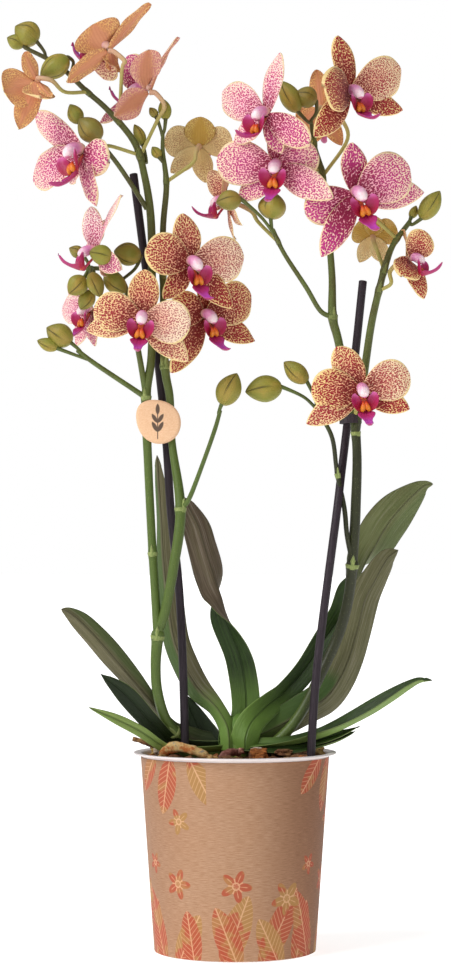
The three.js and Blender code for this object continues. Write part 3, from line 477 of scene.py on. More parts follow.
def printed_blossom(f, right, up, centre, radius, turn):
    """Where a printed five-petalled blossom has ink, and where its pale lines are."""
    x, y = right - centre[0], up - centre[1]
    out = (x * x + y * y) ** 0.5
    wave = (y.math("ARCTAN2", x) * 5.0 + turn).math("COSINE")
    ink = f.step(radius * (0.74 + wave * 0.26) - out, 0.0, 0.4)
    lines = f.step(wave, -0.72, -0.95).math("MAXIMUM", f.step(abs(out - radius * 0.2), 0.5, 0.15))
    ray = f.step(wave, 0.95, 0.995) * f.step(out, radius * 0.75, radius * 0.6)
    return ink, lines.math("MAXIMUM", ray * 0.8)


# The label's print, in millimetres from the middle of one repeat and up from the pot's foot. Leaves are
# [foot across, foot up, lean in degrees, length, width], blossoms are [across, up, radius, turn].
PRINT_REPEAT = 80.6
PRINT_SHIFT = 12
PRINT_RADIUS = 38.5  # the pot's, at about half its height
PRINTED_LEAVES = [
    [-34, -3, 70, 34, 13], [-26, -4, 112, 30, 12], [-17, -4, 62, 40, 13], [-5, -5, 118, 27, 12],
    [3, -4, 78, 30, 12], [14, -4, 110, 36, 13], [22, -4, 60, 28, 12], [33, -4, 98, 26, 11],
    [24, 88, -104, 26, 11], [33, 88, -64, 24, 10], [15, 89, -128, 22, 9],
]
PRINTED_BLOSSOMS = [
    [-28, 33, 7.4, 0.5], [-4, 27, 8.2, 1.8], [25, 33, 7, 0.2], [9, 41, 5, 1.0], [27, 60, 6, 2.6],
]


def label_finish():
    """Kraft-look paper with painted shade that darkens it to the right and a little to the left, with fine
    fibres and red and ochre leaves and blossoms.
    """
    f = Finish("label_kraft_printed", sheen_weight=0.05)
    place = f.place()
    x, y, up = f.part(place, "X"), f.part(place, "Y"), f.part(place, "Z")
    round_mm = x.math("ARCTAN2", y * -1) * PRINT_RADIUS
    right = (round_mm + 1000 * PRINT_REPEAT + PRINT_SHIFT) % PRINT_REPEAT - PRINT_REPEAT / 2
    paper = f.vector(round_mm, up)
    fibres = f.cloud(f.scaled(paper, (0.25, 5.0, 1.0)), 1.0, 4.0, 0.65)
    specks = f.cloud(paper, 2.4, 2.0)
    cloudy = f.cloud(paper, 0.05, 2.0)
    wash = f.step(f.cloud(paper, 0.09, 3.0), 0.42, 0.6)
    # Painted shade: the paper is darkened towards the pot's right side, and a little towards its left.
    painted_side_shade = f.step(x, 2, 40) + f.step(x, -14, -40) * 0.4
    dark, light = f.mix(painted_side_shade, "946b4c", "704930"), f.mix(painted_side_shade, "be997c", "966a4e")
    tint = f.mix(f.step(fibres, 0.25, 0.75), dark, light)
    tint = f.mix(f.step(cloudy, 0.3, 0.7) * 0.25, tint, f.mix(painted_side_shade, "a87c5a", "7a5238"))
    tint = f.mix(f.step(specks, 0.66, 0.78) * 0.4, tint, "7c5436")
    worn = f.step(fibres + specks * 0.5, 0.3, 0.65) * 0.25 + 0.75
    marks = [printed_leaf(f, right, up, row[:2], *row[2:]) for row in PRINTED_LEAVES]
    marks += [printed_blossom(f, right, up, row[:2], *row[2:]) for row in PRINTED_BLOSSOMS]
    for index, (ink, veins) in enumerate(marks):
        red_share = 0.8 if index % 3 else 0.2
        washed = f.mix(f.step(wash + red_share, 0.6, 1.2), "a47a44", "a84a30")
        tint = f.mix(ink * worn * 0.88, tint, f.mix(veins * 0.7, washed, "dcae86"))
    f.put("Base Color", tint)
    f.put("Roughness", 0.62 + fibres * 0.2)
    f.bump(fibres * 0.7 + specks * 0.3, 0.08)
    return f.material


def tag_finish():
    """Peach card with faint fibres and a small dark printed sprig."""
    f = Finish("tag_peach_card", sheen_weight=0.05)
    place, right, up = f.place(), f.mark("right"), f.mark("up")
    fibres = f.cloud(f.scaled(place, (1.0, 1.0, 3.0)), 1.2, 4.0)
    tint = f.mix(f.step(fibres, 0.3, 0.7), "e2b48c", "edc5a0")
    sprig = [[0, -5, 62, 5.4, 2.2], [0, -5, 118, 5.4, 2.2], [0, -1, 58, 5, 2.1], [0, -1, 122, 5, 2.1],
             [0, 2.6, 90, 5.2, 2.2]]
    ink = f.step(abs(right), 0.3, 0.15) * f.step(up, -8.2, -8.0) * f.step(up, 3.2, 3.0)
    for row in sprig:
        ink = ink.math("MAXIMUM", printed_leaf(f, right, up, row[:2], *row[2:])[0])
    f.put("Base Color", f.mix(ink * 0.9 * f.mark("front"), tint, "3a2e2c"))
    f.put("Roughness", 0.6 + fibres * 0.15)
    f.bump(fibres, 0.05)
    return f.material


def bark_finish(name, dark, light, flake):
    """Rough bark: layered flakes with painted shade in the clefts between them, and paler fibres."""
    f = Finish(name)
    place = f.place()
    flakes = f.cells(f.scaled(place, (1.0, 1.0, 1.8)), 0.55)
    fibre = f.cloud(f.scaled(place, (0.8, 0.8, 2.5)), 0.7, 5.0, 0.65, 0.4)
    mottle = f.cloud(place, 0.11, 4.0)
    tint = f.mix(f.step(fibre, 0.3, 0.7), dark, light)
    tint = f.mix(f.step(mottle, 0.5, 0.68), tint, flake)
    # Painted shade: the clefts between flakes, which the bump sinks, are darkened.
    f.put("Base Color", f.mix(f.step(flakes, 0.5, 0.85) * 0.6, tint, "2a1c14"))
    f.put("Roughness", 0.75 + fibre * 0.2)
    f.bump(fibre + flakes * -0.8, 0.6)
    return f.material


def root_finish(name, inner, skin_tint, dark):
    """Dry roots: papery skin over a warmer inside, wrinkled across."""
    f = Finish(name)
    place = f.place()
    skin = f.cloud(place, 0.3, 4.0)
    wrinkles = f.cloud(place, 1.3, 4.0, 0.6, 0.6)
    tint = f.mix(f.step(skin, 0.4, 0.55), inner, skin_tint)
    tint = f.mix(f.step(skin, 0.6, 0.68) * 0.7, tint, "747c82")
    f.put("Base Color", f.mix(f.step(wrinkles, 0.5, 0.75) * 0.6, tint, dark))
    f.put("Roughness", 0.65 + wrinkles * 0.2)
    f.bump(wrinkles, 0.4)
    return f.material


# Ground, ground near the middle, pale ground, spots, deeper spots, rim, back and the back's blush
WARM = petal_finish("petal_warm", "ebc886", "e0947c", "fae2cc",
                    "9a1f28", "741812", "f2d796", "e0a560", "d08a6c")
PINK = petal_finish("petal_pink", "f0ccb0", "f29ebc", "f8e0d8",
                    "b62a78", "8a1840", "f0d6a6", "d0945e", "c07c60")
OLIVE = petal_finish("petal_olive", "d6c27a", "dcb486", "e0ca94",
                     "94502e", "9c5248", "dcc894", "bb9c3c", "b08a3c")
MIDLOBE_STOPS = [(0.0, "d8702a"), (0.3, "a81430"), (0.5, "b0286c"), (0.75, "b848b0")]
SIDE_LOBE_STOPS = [(0.0, "d4501f"), (0.32, "a8143a"), (0.7, "a61c58"), (1.0, "cc62a0")]
MIDLOBE = lip_lobe_finish("lip_middle_lobe", MIDLOBE_STOPS, "7a0c34", 0.8)
SIDE_LOBE = lip_lobe_finish("lip_side_lobe", SIDE_LOBE_STOPS, "8a1050")
CALLUS = lip_lobe_finish("lip_callus", [(0.0, "e89a2c"), (1.0, "cc3c1a")], "a42418")
COLUMN = column_finish()
STALK = stalk_finish()
STEM = stem_finish()
BRACT = bract_finish()
BUD = bud_finish()
LEAF = leaf_finish()
CROWN = crown_finish()
STICK = stick_finish()
POT_WHITE = pot_finish()
LABEL_KRAFT = label_finish()
TAG_CARD = tag_finish()
BARK = bark_finish("bark_brown", "5b3a26", "8a5f40", "a9814f")
BARK_ORANGE = bark_finish("bark_orange", "8a4b22", "b9743a", "6e4a34")
BARK_PALE = bark_finish("bark_pale", "b08a4c", "d9bb7c", "8e6a3c")
BARK_WHITE = bark_finish("bark_white", "c9b8a4", "e8dccc", "b49a80")
BARK_PINK = bark_finish("bark_pink", "b8786a", "dca898", "8a5a48")
ROOT = root_finish("root_tan", "b46a34", "cbab72", "6a4a30")
ROOT_PLUM = root_finish("root_plum", "6e3f34", "8b6257", "3d2420")


# Meshes

def placed(piece, node, slot):
    """Puts a finished piece in the scene under the root body and hides the imported part that it stands in
    for.
    """
    bpy.context.scene.collection.objects.link(piece)
    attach(piece, "root")
    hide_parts(node)


def tidied(mesh):
    """Joins doubled points and turns every face outwards."""
    loose = bmesh.new()
    loose.from_mesh(mesh)
    bmesh.ops.remove_doubles(loose, verts=loose.verts, dist=2e-6)
    bmesh.ops.dissolve_degenerate(loose, edges=loose.edges, dist=1e-6)
    bmesh.ops.recalc_face_normals(loose, faces=loose.faces)
    loose.to_mesh(mesh)
    loose.free()


class Shape:
    """The points and faces of one piece, with numbers kept at each point for its finish."""

    def __init__(self):
        self.points = []
        self.faces = []
        self.looks = []
        self.marks = {}

    def add(self, points, faces, look=0, **marks):
        start, count = len(self.points), len(points)
        for name in sorted(marks.keys() - self.marks.keys()):
            self.marks[name] = [0.0] * start
        for name, kept in self.marks.items():
            kept.extend(np.broadcast_to(marks.get(name, 0.0), count).tolist())
        self.points.extend(np.asarray(points).tolist())
        self.faces.extend([corner + start for corner in face] for face in faces)
        self.looks.extend([look] * len(faces))

    def piece(self, name, node, slot, *finishes, smooth=True):
        mesh = bpy.data.meshes.new(name)
        mesh.from_pydata((np.array(self.points) * MM).tolist(), [], self.faces)
        for mark, values in self.marks.items():
            mesh.attributes.new(mark, "FLOAT", "POINT").data.foreach_set("value", values)
        mesh.polygons.foreach_set("material_index", self.looks)
        for finish in finishes:
            mesh.materials.append(finish)
        tidied(mesh)
        mesh.polygons.foreach_set("use_smooth", [smooth] * len(mesh.polygons))
        placed(bpy.data.objects.new(name, mesh), node, slot)


def grid_faces(rows, columns, start=0, closed=False):
    """The faces between rows of points. closed joins each row's last point to its first."""
    faces = []
    for row in range(rows - 1):
        for column in range(columns if closed else columns - 1):
            here, beside = row * columns + column, row * columns + (column + 1) % columns
            faces.append([start + here, start + beside, start + beside + columns, start + here + columns])
    return faces


def blade(shape, centres, across, face, halves, lift, thickness, columns, look=0, **marks):
    """A thin closed sheet on rows of centres, thinner to its rim and tip. lift(share, v) raises it, where v
    runs from -1 to 1 across it."""
    rows, count = len(centres), columns + 1
    v = np.linspace(-1, 1, count)[None, :]
    lengths = np.concatenate([[0], np.cumsum(np.linalg.norm(np.diff(centres, axis=0), axis=1))])
    share = (lengths / lengths[-1])[:, None]
    halves = halves[:, None]
    middle = (centres[:, None] + across[:, None] * (halves * v)[..., None]
              + face[:, None] * np.broadcast_to(lift(share, v), (rows, count))[..., None])
    to_rim, to_tip = 1 - 0.8 * np.abs(v) ** 3, 1 - 0.6 * share ** 8
    thick = np.minimum(thickness * to_rim, halves * 0.8) * to_tip
    offset = face[:, None] * (thick / 2)[..., None]
    faces = grid_faces(rows, count) + grid_faces(rows, count, rows * count)
    around = list(range(count))
    around += [row * count + columns for row in range(1, rows)]
    around += [(rows - 1) * count + column for column in range(columns - 1, -1, -1)]
    around += [row * count for row in range(rows - 2, 0, -1)]
    below = rows * count
    for here, there in zip(around, around[1:] + around[:1]):
        faces.append([here, there, there + below, here + below])
    points = np.concatenate([(middle + offset).reshape(-1, 3), (middle - offset).reshape(-1, 3)])
    twice = lambda values: np.tile(np.broadcast_to(values, (rows, count)).ravel(), 2)
    shape.add(points, faces, look, share=twice(share), edge=twice(np.abs(v)), along=twice(lengths[:, None]),
              across=twice(halves * v), front=np.repeat([1.0, 0.0], rows * count), **marks)


def swept(shape, path, radii, sides, look=0, section=None, spin=0.0, **marks):
    """A round body along a path, closed at both ends. section(share, angles) shapes its outline."""
    _, side, over = axes_along(path)
    angles = np.linspace(0, 2 * np.pi, sides, endpoint=False)
    share = np.linspace(0, 1, len(path))[:, None]
    reach = radii[:, None] * (section(share, angles[None, :]) if section else np.ones((1, sides)))
    points = (path[:, None] + side[:, None] * (reach * np.cos(angles + spin))[..., None]
              + over[:, None] * (reach * np.sin(angles + spin))[..., None]).reshape(-1, 3)
    last = (len(path) - 1) * sides
    faces = grid_faces(len(path), sides, closed=True)
    faces += [list(range(sides)), list(range(last, last + sides))]
    marks = {"share": share, **marks}
    spread = {name: np.broadcast_to(values, reach.shape).ravel() for name, values in marks.items()}
    shape.add(points, faces, look, **spread)


def stalk_tree():
    """Geometry Nodes that give every path of a curve a round body, as thick as the path's radius."""
    tree = bpy.data.node_groups.new("round stalk along a path", "GeometryNodeTree")
    tree.interface.new_socket(name="Paths", in_out="INPUT", socket_type="NodeSocketGeometry")
    tree.interface.new_socket(name="Sides", in_out="INPUT", socket_type="NodeSocketInt")
    tree.interface.new_socket(name="Finish", in_out="INPUT", socket_type="NodeSocketMaterial")
    tree.interface.new_socket(name="Stalk", in_out="OUTPUT", socket_type="NodeSocketGeometry")
    node, join = tree.nodes.new, tree.links.new
    given, taken = node("NodeGroupInput"), node("NodeGroupOutput")
    circle, body = node("GeometryNodeCurvePrimitiveCircle"), node("GeometryNodeCurveToMesh")
    position, keep = node("GeometryNodeSplineParameter"), node("GeometryNodeStoreNamedAttribute")
    real, finish = node("GeometryNodeRealizeInstances"), node("GeometryNodeSetMaterial")
    radius = node("GeometryNodeInputRadius")
    keep.inputs["Name"].default_value = "share"
    circle.inputs["Radius"].default_value = 1.0
    body.inputs["Fill Caps"].default_value = True
    join(given.outputs["Paths"], keep.inputs["Geometry"])
    join(position.outputs["Factor"], keep.inputs["Value"])
    join(given.outputs["Sides"], circle.inputs["Resolution"])
    join(keep.outputs["Geometry"], body.inputs["Curve"])
    join(circle.outputs["Curve"], body.inputs["Profile Curve"])
    join(body.outputs["Mesh"], real.inputs["Geometry"])
    join(real.outputs["Geometry"], finish.inputs["Geometry"])
    join(given.outputs["Finish"], finish.inputs["Material"])
    join(finish.outputs["Geometry"], taken.inputs["Stalk"])
    join(radius.outputs["Radius"], body.inputs["Scale"])
    return tree


def run_tree(name, source, tree, values):
    """A plain mesh from an object that carries a Geometry Nodes tree with these inputs."""
    bpy.context.scene.collection.objects.link(source)
    modifier = source.modifiers.new("nodes", "NODES")
    modifier.node_group = tree
    for socket in tree.interface.items_tree:
        if socket.in_out == "INPUT" and socket.name in values:
            modifier[socket.identifier] = values[socket.name]
    ready = source.evaluated_get(bpy.context.evaluated_depsgraph_get())
    mesh = bpy.data.meshes.new_from_object(ready)
    mesh.name = name
    source.modifiers.clear()
    bpy.data.objects.remove(source)
    return mesh


STALK_TREE = stalk_tree()


def stalks(name, node, slot, paths, finish, sides=14):
    """One piece of round stalks. Each path is rows of [x, y, z, radius]."""
    curve = bpy.data.curves.new(name, "CURVE")
    curve.dimensions = "3D"
    for rows in paths:
        line = curve.splines.new("POLY")
        line.points.add(len(rows) - 1)
        line.points.foreach_set("co", np.hstack([rows[:, :3] * MM, np.ones((len(rows), 1))]).ravel())
        line.points.foreach_set("radius", rows[:, 3] * MM)
    source = bpy.data.objects.new(name + "_paths", curve)
    mesh = run_tree(name, source, STALK_TREE, {"Sides": sides, "Finish": finish})
    tidied(mesh)
    mesh.polygons.foreach_set("use_smooth", [len(face.vertices) == 4 for face in mesh.polygons])
    placed(bpy.data.objects.new(name, mesh), node, slot)


def chip_tree():
    """Geometry Nodes that strew rough chips over a surface."""
    tree = bpy.data.node_groups.new("chips strewn on a surface", "GeometryNodeTree")
    tree.interface.new_socket(name="Surface", in_out="INPUT", socket_type="NodeSocketGeometry")
    for name in ("Spacing", "Smallest", "Largest", "Roughness"):
        tree.interface.new_socket(name=name, in_out="INPUT", socket_type="NodeSocketFloat")
    tree.interface.new_socket(name="Seed", in_out="INPUT", socket_type="NodeSocketInt")
    tree.interface.new_socket(name="Finish", in_out="INPUT", socket_type="NodeSocketMaterial")
    tree.interface.new_socket(name="Chips", in_out="OUTPUT", socket_type="NodeSocketGeometry")
    node, join = tree.nodes.new, tree.links.new
    given, taken = node("NodeGroupInput"), node("NodeGroupOutput")
    points = node("GeometryNodeDistributePointsOnFaces")
    points.distribute_method = "POISSON"
    points.inputs["Density Max"].default_value = 1e6
    chip = node("GeometryNodeMeshIcoSphere")
    chip.inputs["Subdivisions"].default_value = 3
    chip.inputs["Radius"].default_value = 0.5
    turn, size = node("FunctionNodeRandomValue"), node("FunctionNodeRandomValue")
    for random_value in (turn, size):
        random_value.data_type = "FLOAT_VECTOR"
    turn.inputs["Max"].default_value = (0.9, 0.9, 2 * math.pi)
    small, large = node("ShaderNodeCombineXYZ"), node("ShaderNodeCombineXYZ")
    flat = node("ShaderNodeMath")
    flat.operation = "MULTIPLY"
    flat.inputs[1].default_value = 0.6
    spread = node("GeometryNodeInstanceOnPoints")
    real, moved = node("GeometryNodeRealizeInstances"), node("GeometryNodeSetPosition")
    rough = node("ShaderNodeTexNoise")
    centred, push = node("ShaderNodeVectorMath"), node("ShaderNodeVectorMath")
    rough.inputs["Scale"].default_value = 330
    rough.inputs["Detail"].default_value = 3
    centred.operation = "SUBTRACT"
    centred.inputs[1].default_value = (0.5, 0.5, 0.5)
    push.operation = "SCALE"
    finish = node("GeometryNodeSetMaterial")
    join(given.outputs["Surface"], points.inputs["Mesh"])
    join(given.outputs["Spacing"], points.inputs["Distance Min"])
    join(given.outputs["Seed"], points.inputs["Seed"])
    join(given.outputs["Seed"], size.inputs["Seed"])
    join(points.outputs["Points"], spread.inputs["Points"])
    join(chip.outputs["Mesh"], spread.inputs["Instance"])
    join(given.outputs["Largest"], flat.inputs[0])
    for socket in ("X", "Y", "Z"):
        join(given.outputs["Smallest"], small.inputs[socket])
        join(flat.outputs[0] if socket == "Z" else given.outputs["Largest"], large.inputs[socket])
    join(small.outputs[0], size.inputs["Min"])
    join(large.outputs[0], size.inputs["Max"])
    join(turn.outputs["Value"], spread.inputs["Rotation"])
    join(size.outputs["Value"], spread.inputs["Scale"])
    join(spread.outputs["Instances"], real.inputs["Geometry"])
    join(real.outputs["Geometry"], moved.inputs["Geometry"])
    join(rough.outputs["Color"], centred.inputs[0])
    join(centred.outputs[0], push.inputs[0])
    join(given.outputs["Roughness"], push.inputs["Scale"])
    join(push.outputs[0], moved.inputs["Offset"])
    join(moved.outputs["Geometry"], finish.inputs["Geometry"])
    join(given.outputs["Finish"], finish.inputs["Material"])
    join(finish.outputs["Geometry"], taken.inputs["Chips"])
    return tree


# Pot, label and bark

def turned(shape, profile, segments=144):
    """A body turned round the pot's axis, from rows of [radius, height] that end where they began."""
    profile = np.array(profile, float)
    angles = np.linspace(0, 2 * np.pi, segments, endpoint=False)
    ring = np.stack([np.sin(angles), -np.cos(angles), np.zeros(segments)], axis=1)
    points = ring[None] * profile[:, 0][:, None, None] + np.array([0, 0, 1]) * profile[:, 1][:, None, None]
    shape.add(points.reshape(-1, 3), grid_faces(len(profile), segments, closed=True))


def pot_radius(z):
    shoulder = POT["height"] - POT["lip_drop"]
    return POT["base_radius"] + (POT["top_radius"] - POT["base_radius"]) * z / shoulder


def rounded(corners, radius, steps=4):
    """A profile whose corners are rounded. Rows are [radius, height]."""
    corners = np.array(corners, float)
    smooth = []
    for index, corner in enumerate(corners):
        before, after = corners[index - 1] - corner, corners[(index + 1) % len(corners)] - corner
        if corner[0] < 1e-6:
            smooth.append(corner)
            continue
        reach = min(radius, np.linalg.norm(before) / 2.2, np.linalg.norm(after) / 2.2)
        start, end = corner + unit(before) * reach, corner + unit(after) * reach
        for share in np.linspace(0, 1, steps + 1):
            smooth.append(start * (1 - share) ** 2 + corner * 2 * share * (1 - share) + end * share ** 2)
    return np.array(smooth)


def make_pot():
    height, wall, lip = POT["height"], POT["wall"], POT["lip"]
    shoulder = height - POT["lip_drop"]
    inside = pot_radius(shoulder) - wall
    pot = Shape()
    turned(pot, rounded([
        [0, 0.6], [26, 0.6], [27.5, 0], [POT["base_radius"] - 0.2, 0], [pot_radius(40), 40],
        [pot_radius(shoulder), shoulder], [lip - 0.8, height - 1.05], [lip, height - 0.65],
        [lip - 0.2, height - 0.1], [lip - 1.2, height], [inside + 0.8, height - 0.4],
        [inside, shoulder - 0.5], [POT["base_radius"] - wall, wall + 0.6], [26, 1.5], [0, 1.5],
    ], 0.8))
    pot.piece("pot", "pot", "pot_white", POT_WHITE)
    label = Shape()
    inner = lambda z: pot_radius(z) + 0.05
    outer = lambda z: inner(z) + LABEL["thickness"]
    bottom, top = LABEL["bottom"], LABEL["top"]
    turned(label, rounded([[inner(bottom), bottom], [outer(bottom), bottom], [outer(top), top],
                           [inner(top), top]], 0.12, 2).tolist() + [[inner(bottom), bottom + 0.1]])
    label.piece("pot_label", "pot_label", "label_kraft", LABEL_KRAFT)


# The chips strewn over the fill, as [finish, seed, spacing, largest]
STREWN_CHIPS = {
    "bark_chips_brown": [BARK, 4, 5.2, 12],
    "bark_chips_orange": [BARK_ORANGE, 9, 8.5, 10],
    "bark_chips_pale": [BARK_PALE, 15, 11, 8],
}


def make_bark():
    """The fill in the pot, and chips strewn over it."""
    inside = lambda z: pot_radius(z) - POT["wall"] - GAP
    floor, middle = FILL["floor"], FILL["middle"]
    fill = Shape()
    turned(fill, [[0, floor], [inside(floor) - 1, floor], [inside(80), 80], [inside(middle), FILL["side"]],
                  [20, 82.8], [0, middle]], 96)
    fill.piece("growing_bark", "growing_bark", "bark_brown", BARK)
    disc = bpy.data.meshes.new("bark_surface")
    flat = bmesh.new()
    bmesh.ops.create_circle(flat, cap_ends=True, radius=FILL["chips_reach"] * MM, segments=48)
    bmesh.ops.translate(flat, verts=flat.verts, vec=(0, 0, FILL["chips"] * MM))
    flat.to_mesh(disc)
    flat.free()
    tree = chip_tree()
    for name, (finish, seed, spacing, largest) in STREWN_CHIPS.items():
        source = bpy.data.objects.new(name + "_surface", disc.copy())
        values = {"Spacing": spacing * MM, "Smallest": 3.5 * MM, "Largest": largest * MM,
                  "Roughness": 2.6 * MM, "Seed": seed, "Finish": finish}
        mesh = run_tree(name, source, tree, values)
        tidied(mesh)
        placed(bpy.data.objects.new(name, mesh), "growing_bark", "bark_brown")


# Loose bits at the rim, as [place, size, turn, finish], and the small ones that belong to the fill
CHIPS = {
    "bark_chip_pale": [[-33.6, 88.6, 12], [9, 7, 7], -20, BARK_PALE],
    "bark_chip_orange": [[10.3, 86, -17], [10, 9, 8], 8, BARK_ORANGE],
    "bark_chip_right": [[36, 87.6, 6], [8, 9, 6.5], 30, BARK_PALE],
}
SMALL_CHIPS = {
    "bark_bit_white_left": [[-34.6, 88.6, -3], [3.2, 4, 4.6], 10, BARK_WHITE],
    "bark_bit_white_right": [[9.6, 88.6, -12], [6, 4.6, 2.8], -12, BARK_WHITE],
    "bark_bit_pink": [[2.8, 88.2, -16], [3, 2.8, 3], 20, BARK_PINK],
    "bark_bit_brown": [[21.6, 87.6, -14], [9, 6, 3.4], 12, BARK],
}


def rough_chip(name, node, centre, size, turn, finish):
    """A ball squashed to a chip's size and broken up by noise."""
    ball = bmesh.new()
    bmesh.ops.create_icosphere(ball, subdivisions=4, radius=1)
    spin = Matrix.Rotation(math.radians(turn), 3, "Z")
    middle = Vector(at(*centre))
    for vert in ball.verts:
        blocky = Vector([math.copysign(abs(part) ** 0.6, part) for part in vert.co])
        swell = 0.8 + 0.35 * noise.noise(vert.co * 1.7 + middle) + 0.08 * noise.noise(vert.co * 6)
        half = Vector([part * side / 2 * swell for part, side in zip(blocky, size)])
        vert.co = (middle + spin @ half) * MM
    mesh = bpy.data.meshes.new(name)
    ball.to_mesh(mesh)
    ball.free()
    mesh.materials.append(finish)
    placed(bpy.data.objects.new(name, mesh), node, "bark_brown")


# The rim's twig and roots, as [places, radii, finish, slot]
ROOTS = {
    "bark_stick": [
        [[-45.4, 93.6, 0], [-38, 91.6, 0], [-31, 88.4, 2], [-27, 84, 4]],
        [0.9, 1.4, 1.4, 1.2], BARK, "bark_brown",
    ],
    "root_arched": [
        [[-32.6, 85, -10], [-30.6, 88.4, -12], [-26, 90, -14], [-20, 88.9, -16], [-14, 86.6, -17],
         [-10.4, 84.6, -17]],
        [1.7, 2.1, 2.2, 2.0, 1.6, 1.2], ROOT, "root_tan",
    ],
    "root_short": [
        [[2, 87.6, -12], [-2.4, 87.4, -17], [-6.5, 84.8, -19]],
        [1.6, 1.8, 1.4], ROOT_PLUM, "root_tan",
    ],
}


def gnarled(name, places, radii, finish, slot):
    """A root or twig that swells and shrinks along its length, with crooked ridges."""
    rows = thick_path([at(*place) for place in places], radii, 10)
    wobble = np.array([noise.noise(Vector((index * 0.35, 0.3, 0.0))) for index in range(len(rows))])

    def ridges(share, angle):
        return 1 + 0.09 * np.sin(3 * angle + 5 * share) + 0.05 * np.sin(7 * angle - 9 * share)

    shape = Shape()
    swept(shape, rows[:, :3], rows[:, 3] * (1 + 0.25 * wobble), 20, section=ridges)
    shape.piece(name, name, slot, finish)


# Support sticks, from the top down into the bark, as rows of [x, z, depth]
STICKS = {
    "stick_left": [[-45.3, 345, 7], [-40.8, 311, 7], [-34.7, 265, 6], [-30.7, 227, 6], [-28.4, 193, 4],
                   [-24.4, 154, 1], [-22.2, 92, -3], [-21.5, STICK_FOOT, -5]],
    "stick_right": [[57.1, 297, 5], [53.7, 265, 6], [49.5, 229, 7], [47.2, 210, 2], [44.9, 191, -5],
                    [36.9, 129, -10], [33.7, 86, -12], [31, STICK_FOOT, -13]],
}
STICK_END = [[0.5, 0.35], [0.4, 0.7], [0.2, 0.92]]  # millimetres past the end, share of the radius


def make_stick(name, rows):
    path = between([at(*row) for row in rows], 8)
    rounding = rounded_end(path[0], unit(path[0] - path[1]), STICK_RADIUS, 1, STICK_END)
    body = [[*point, STICK_RADIUS] for point in path]
    stalks(name, name, "stick_dark", [np.array(rounding + body)], STICK, 20)


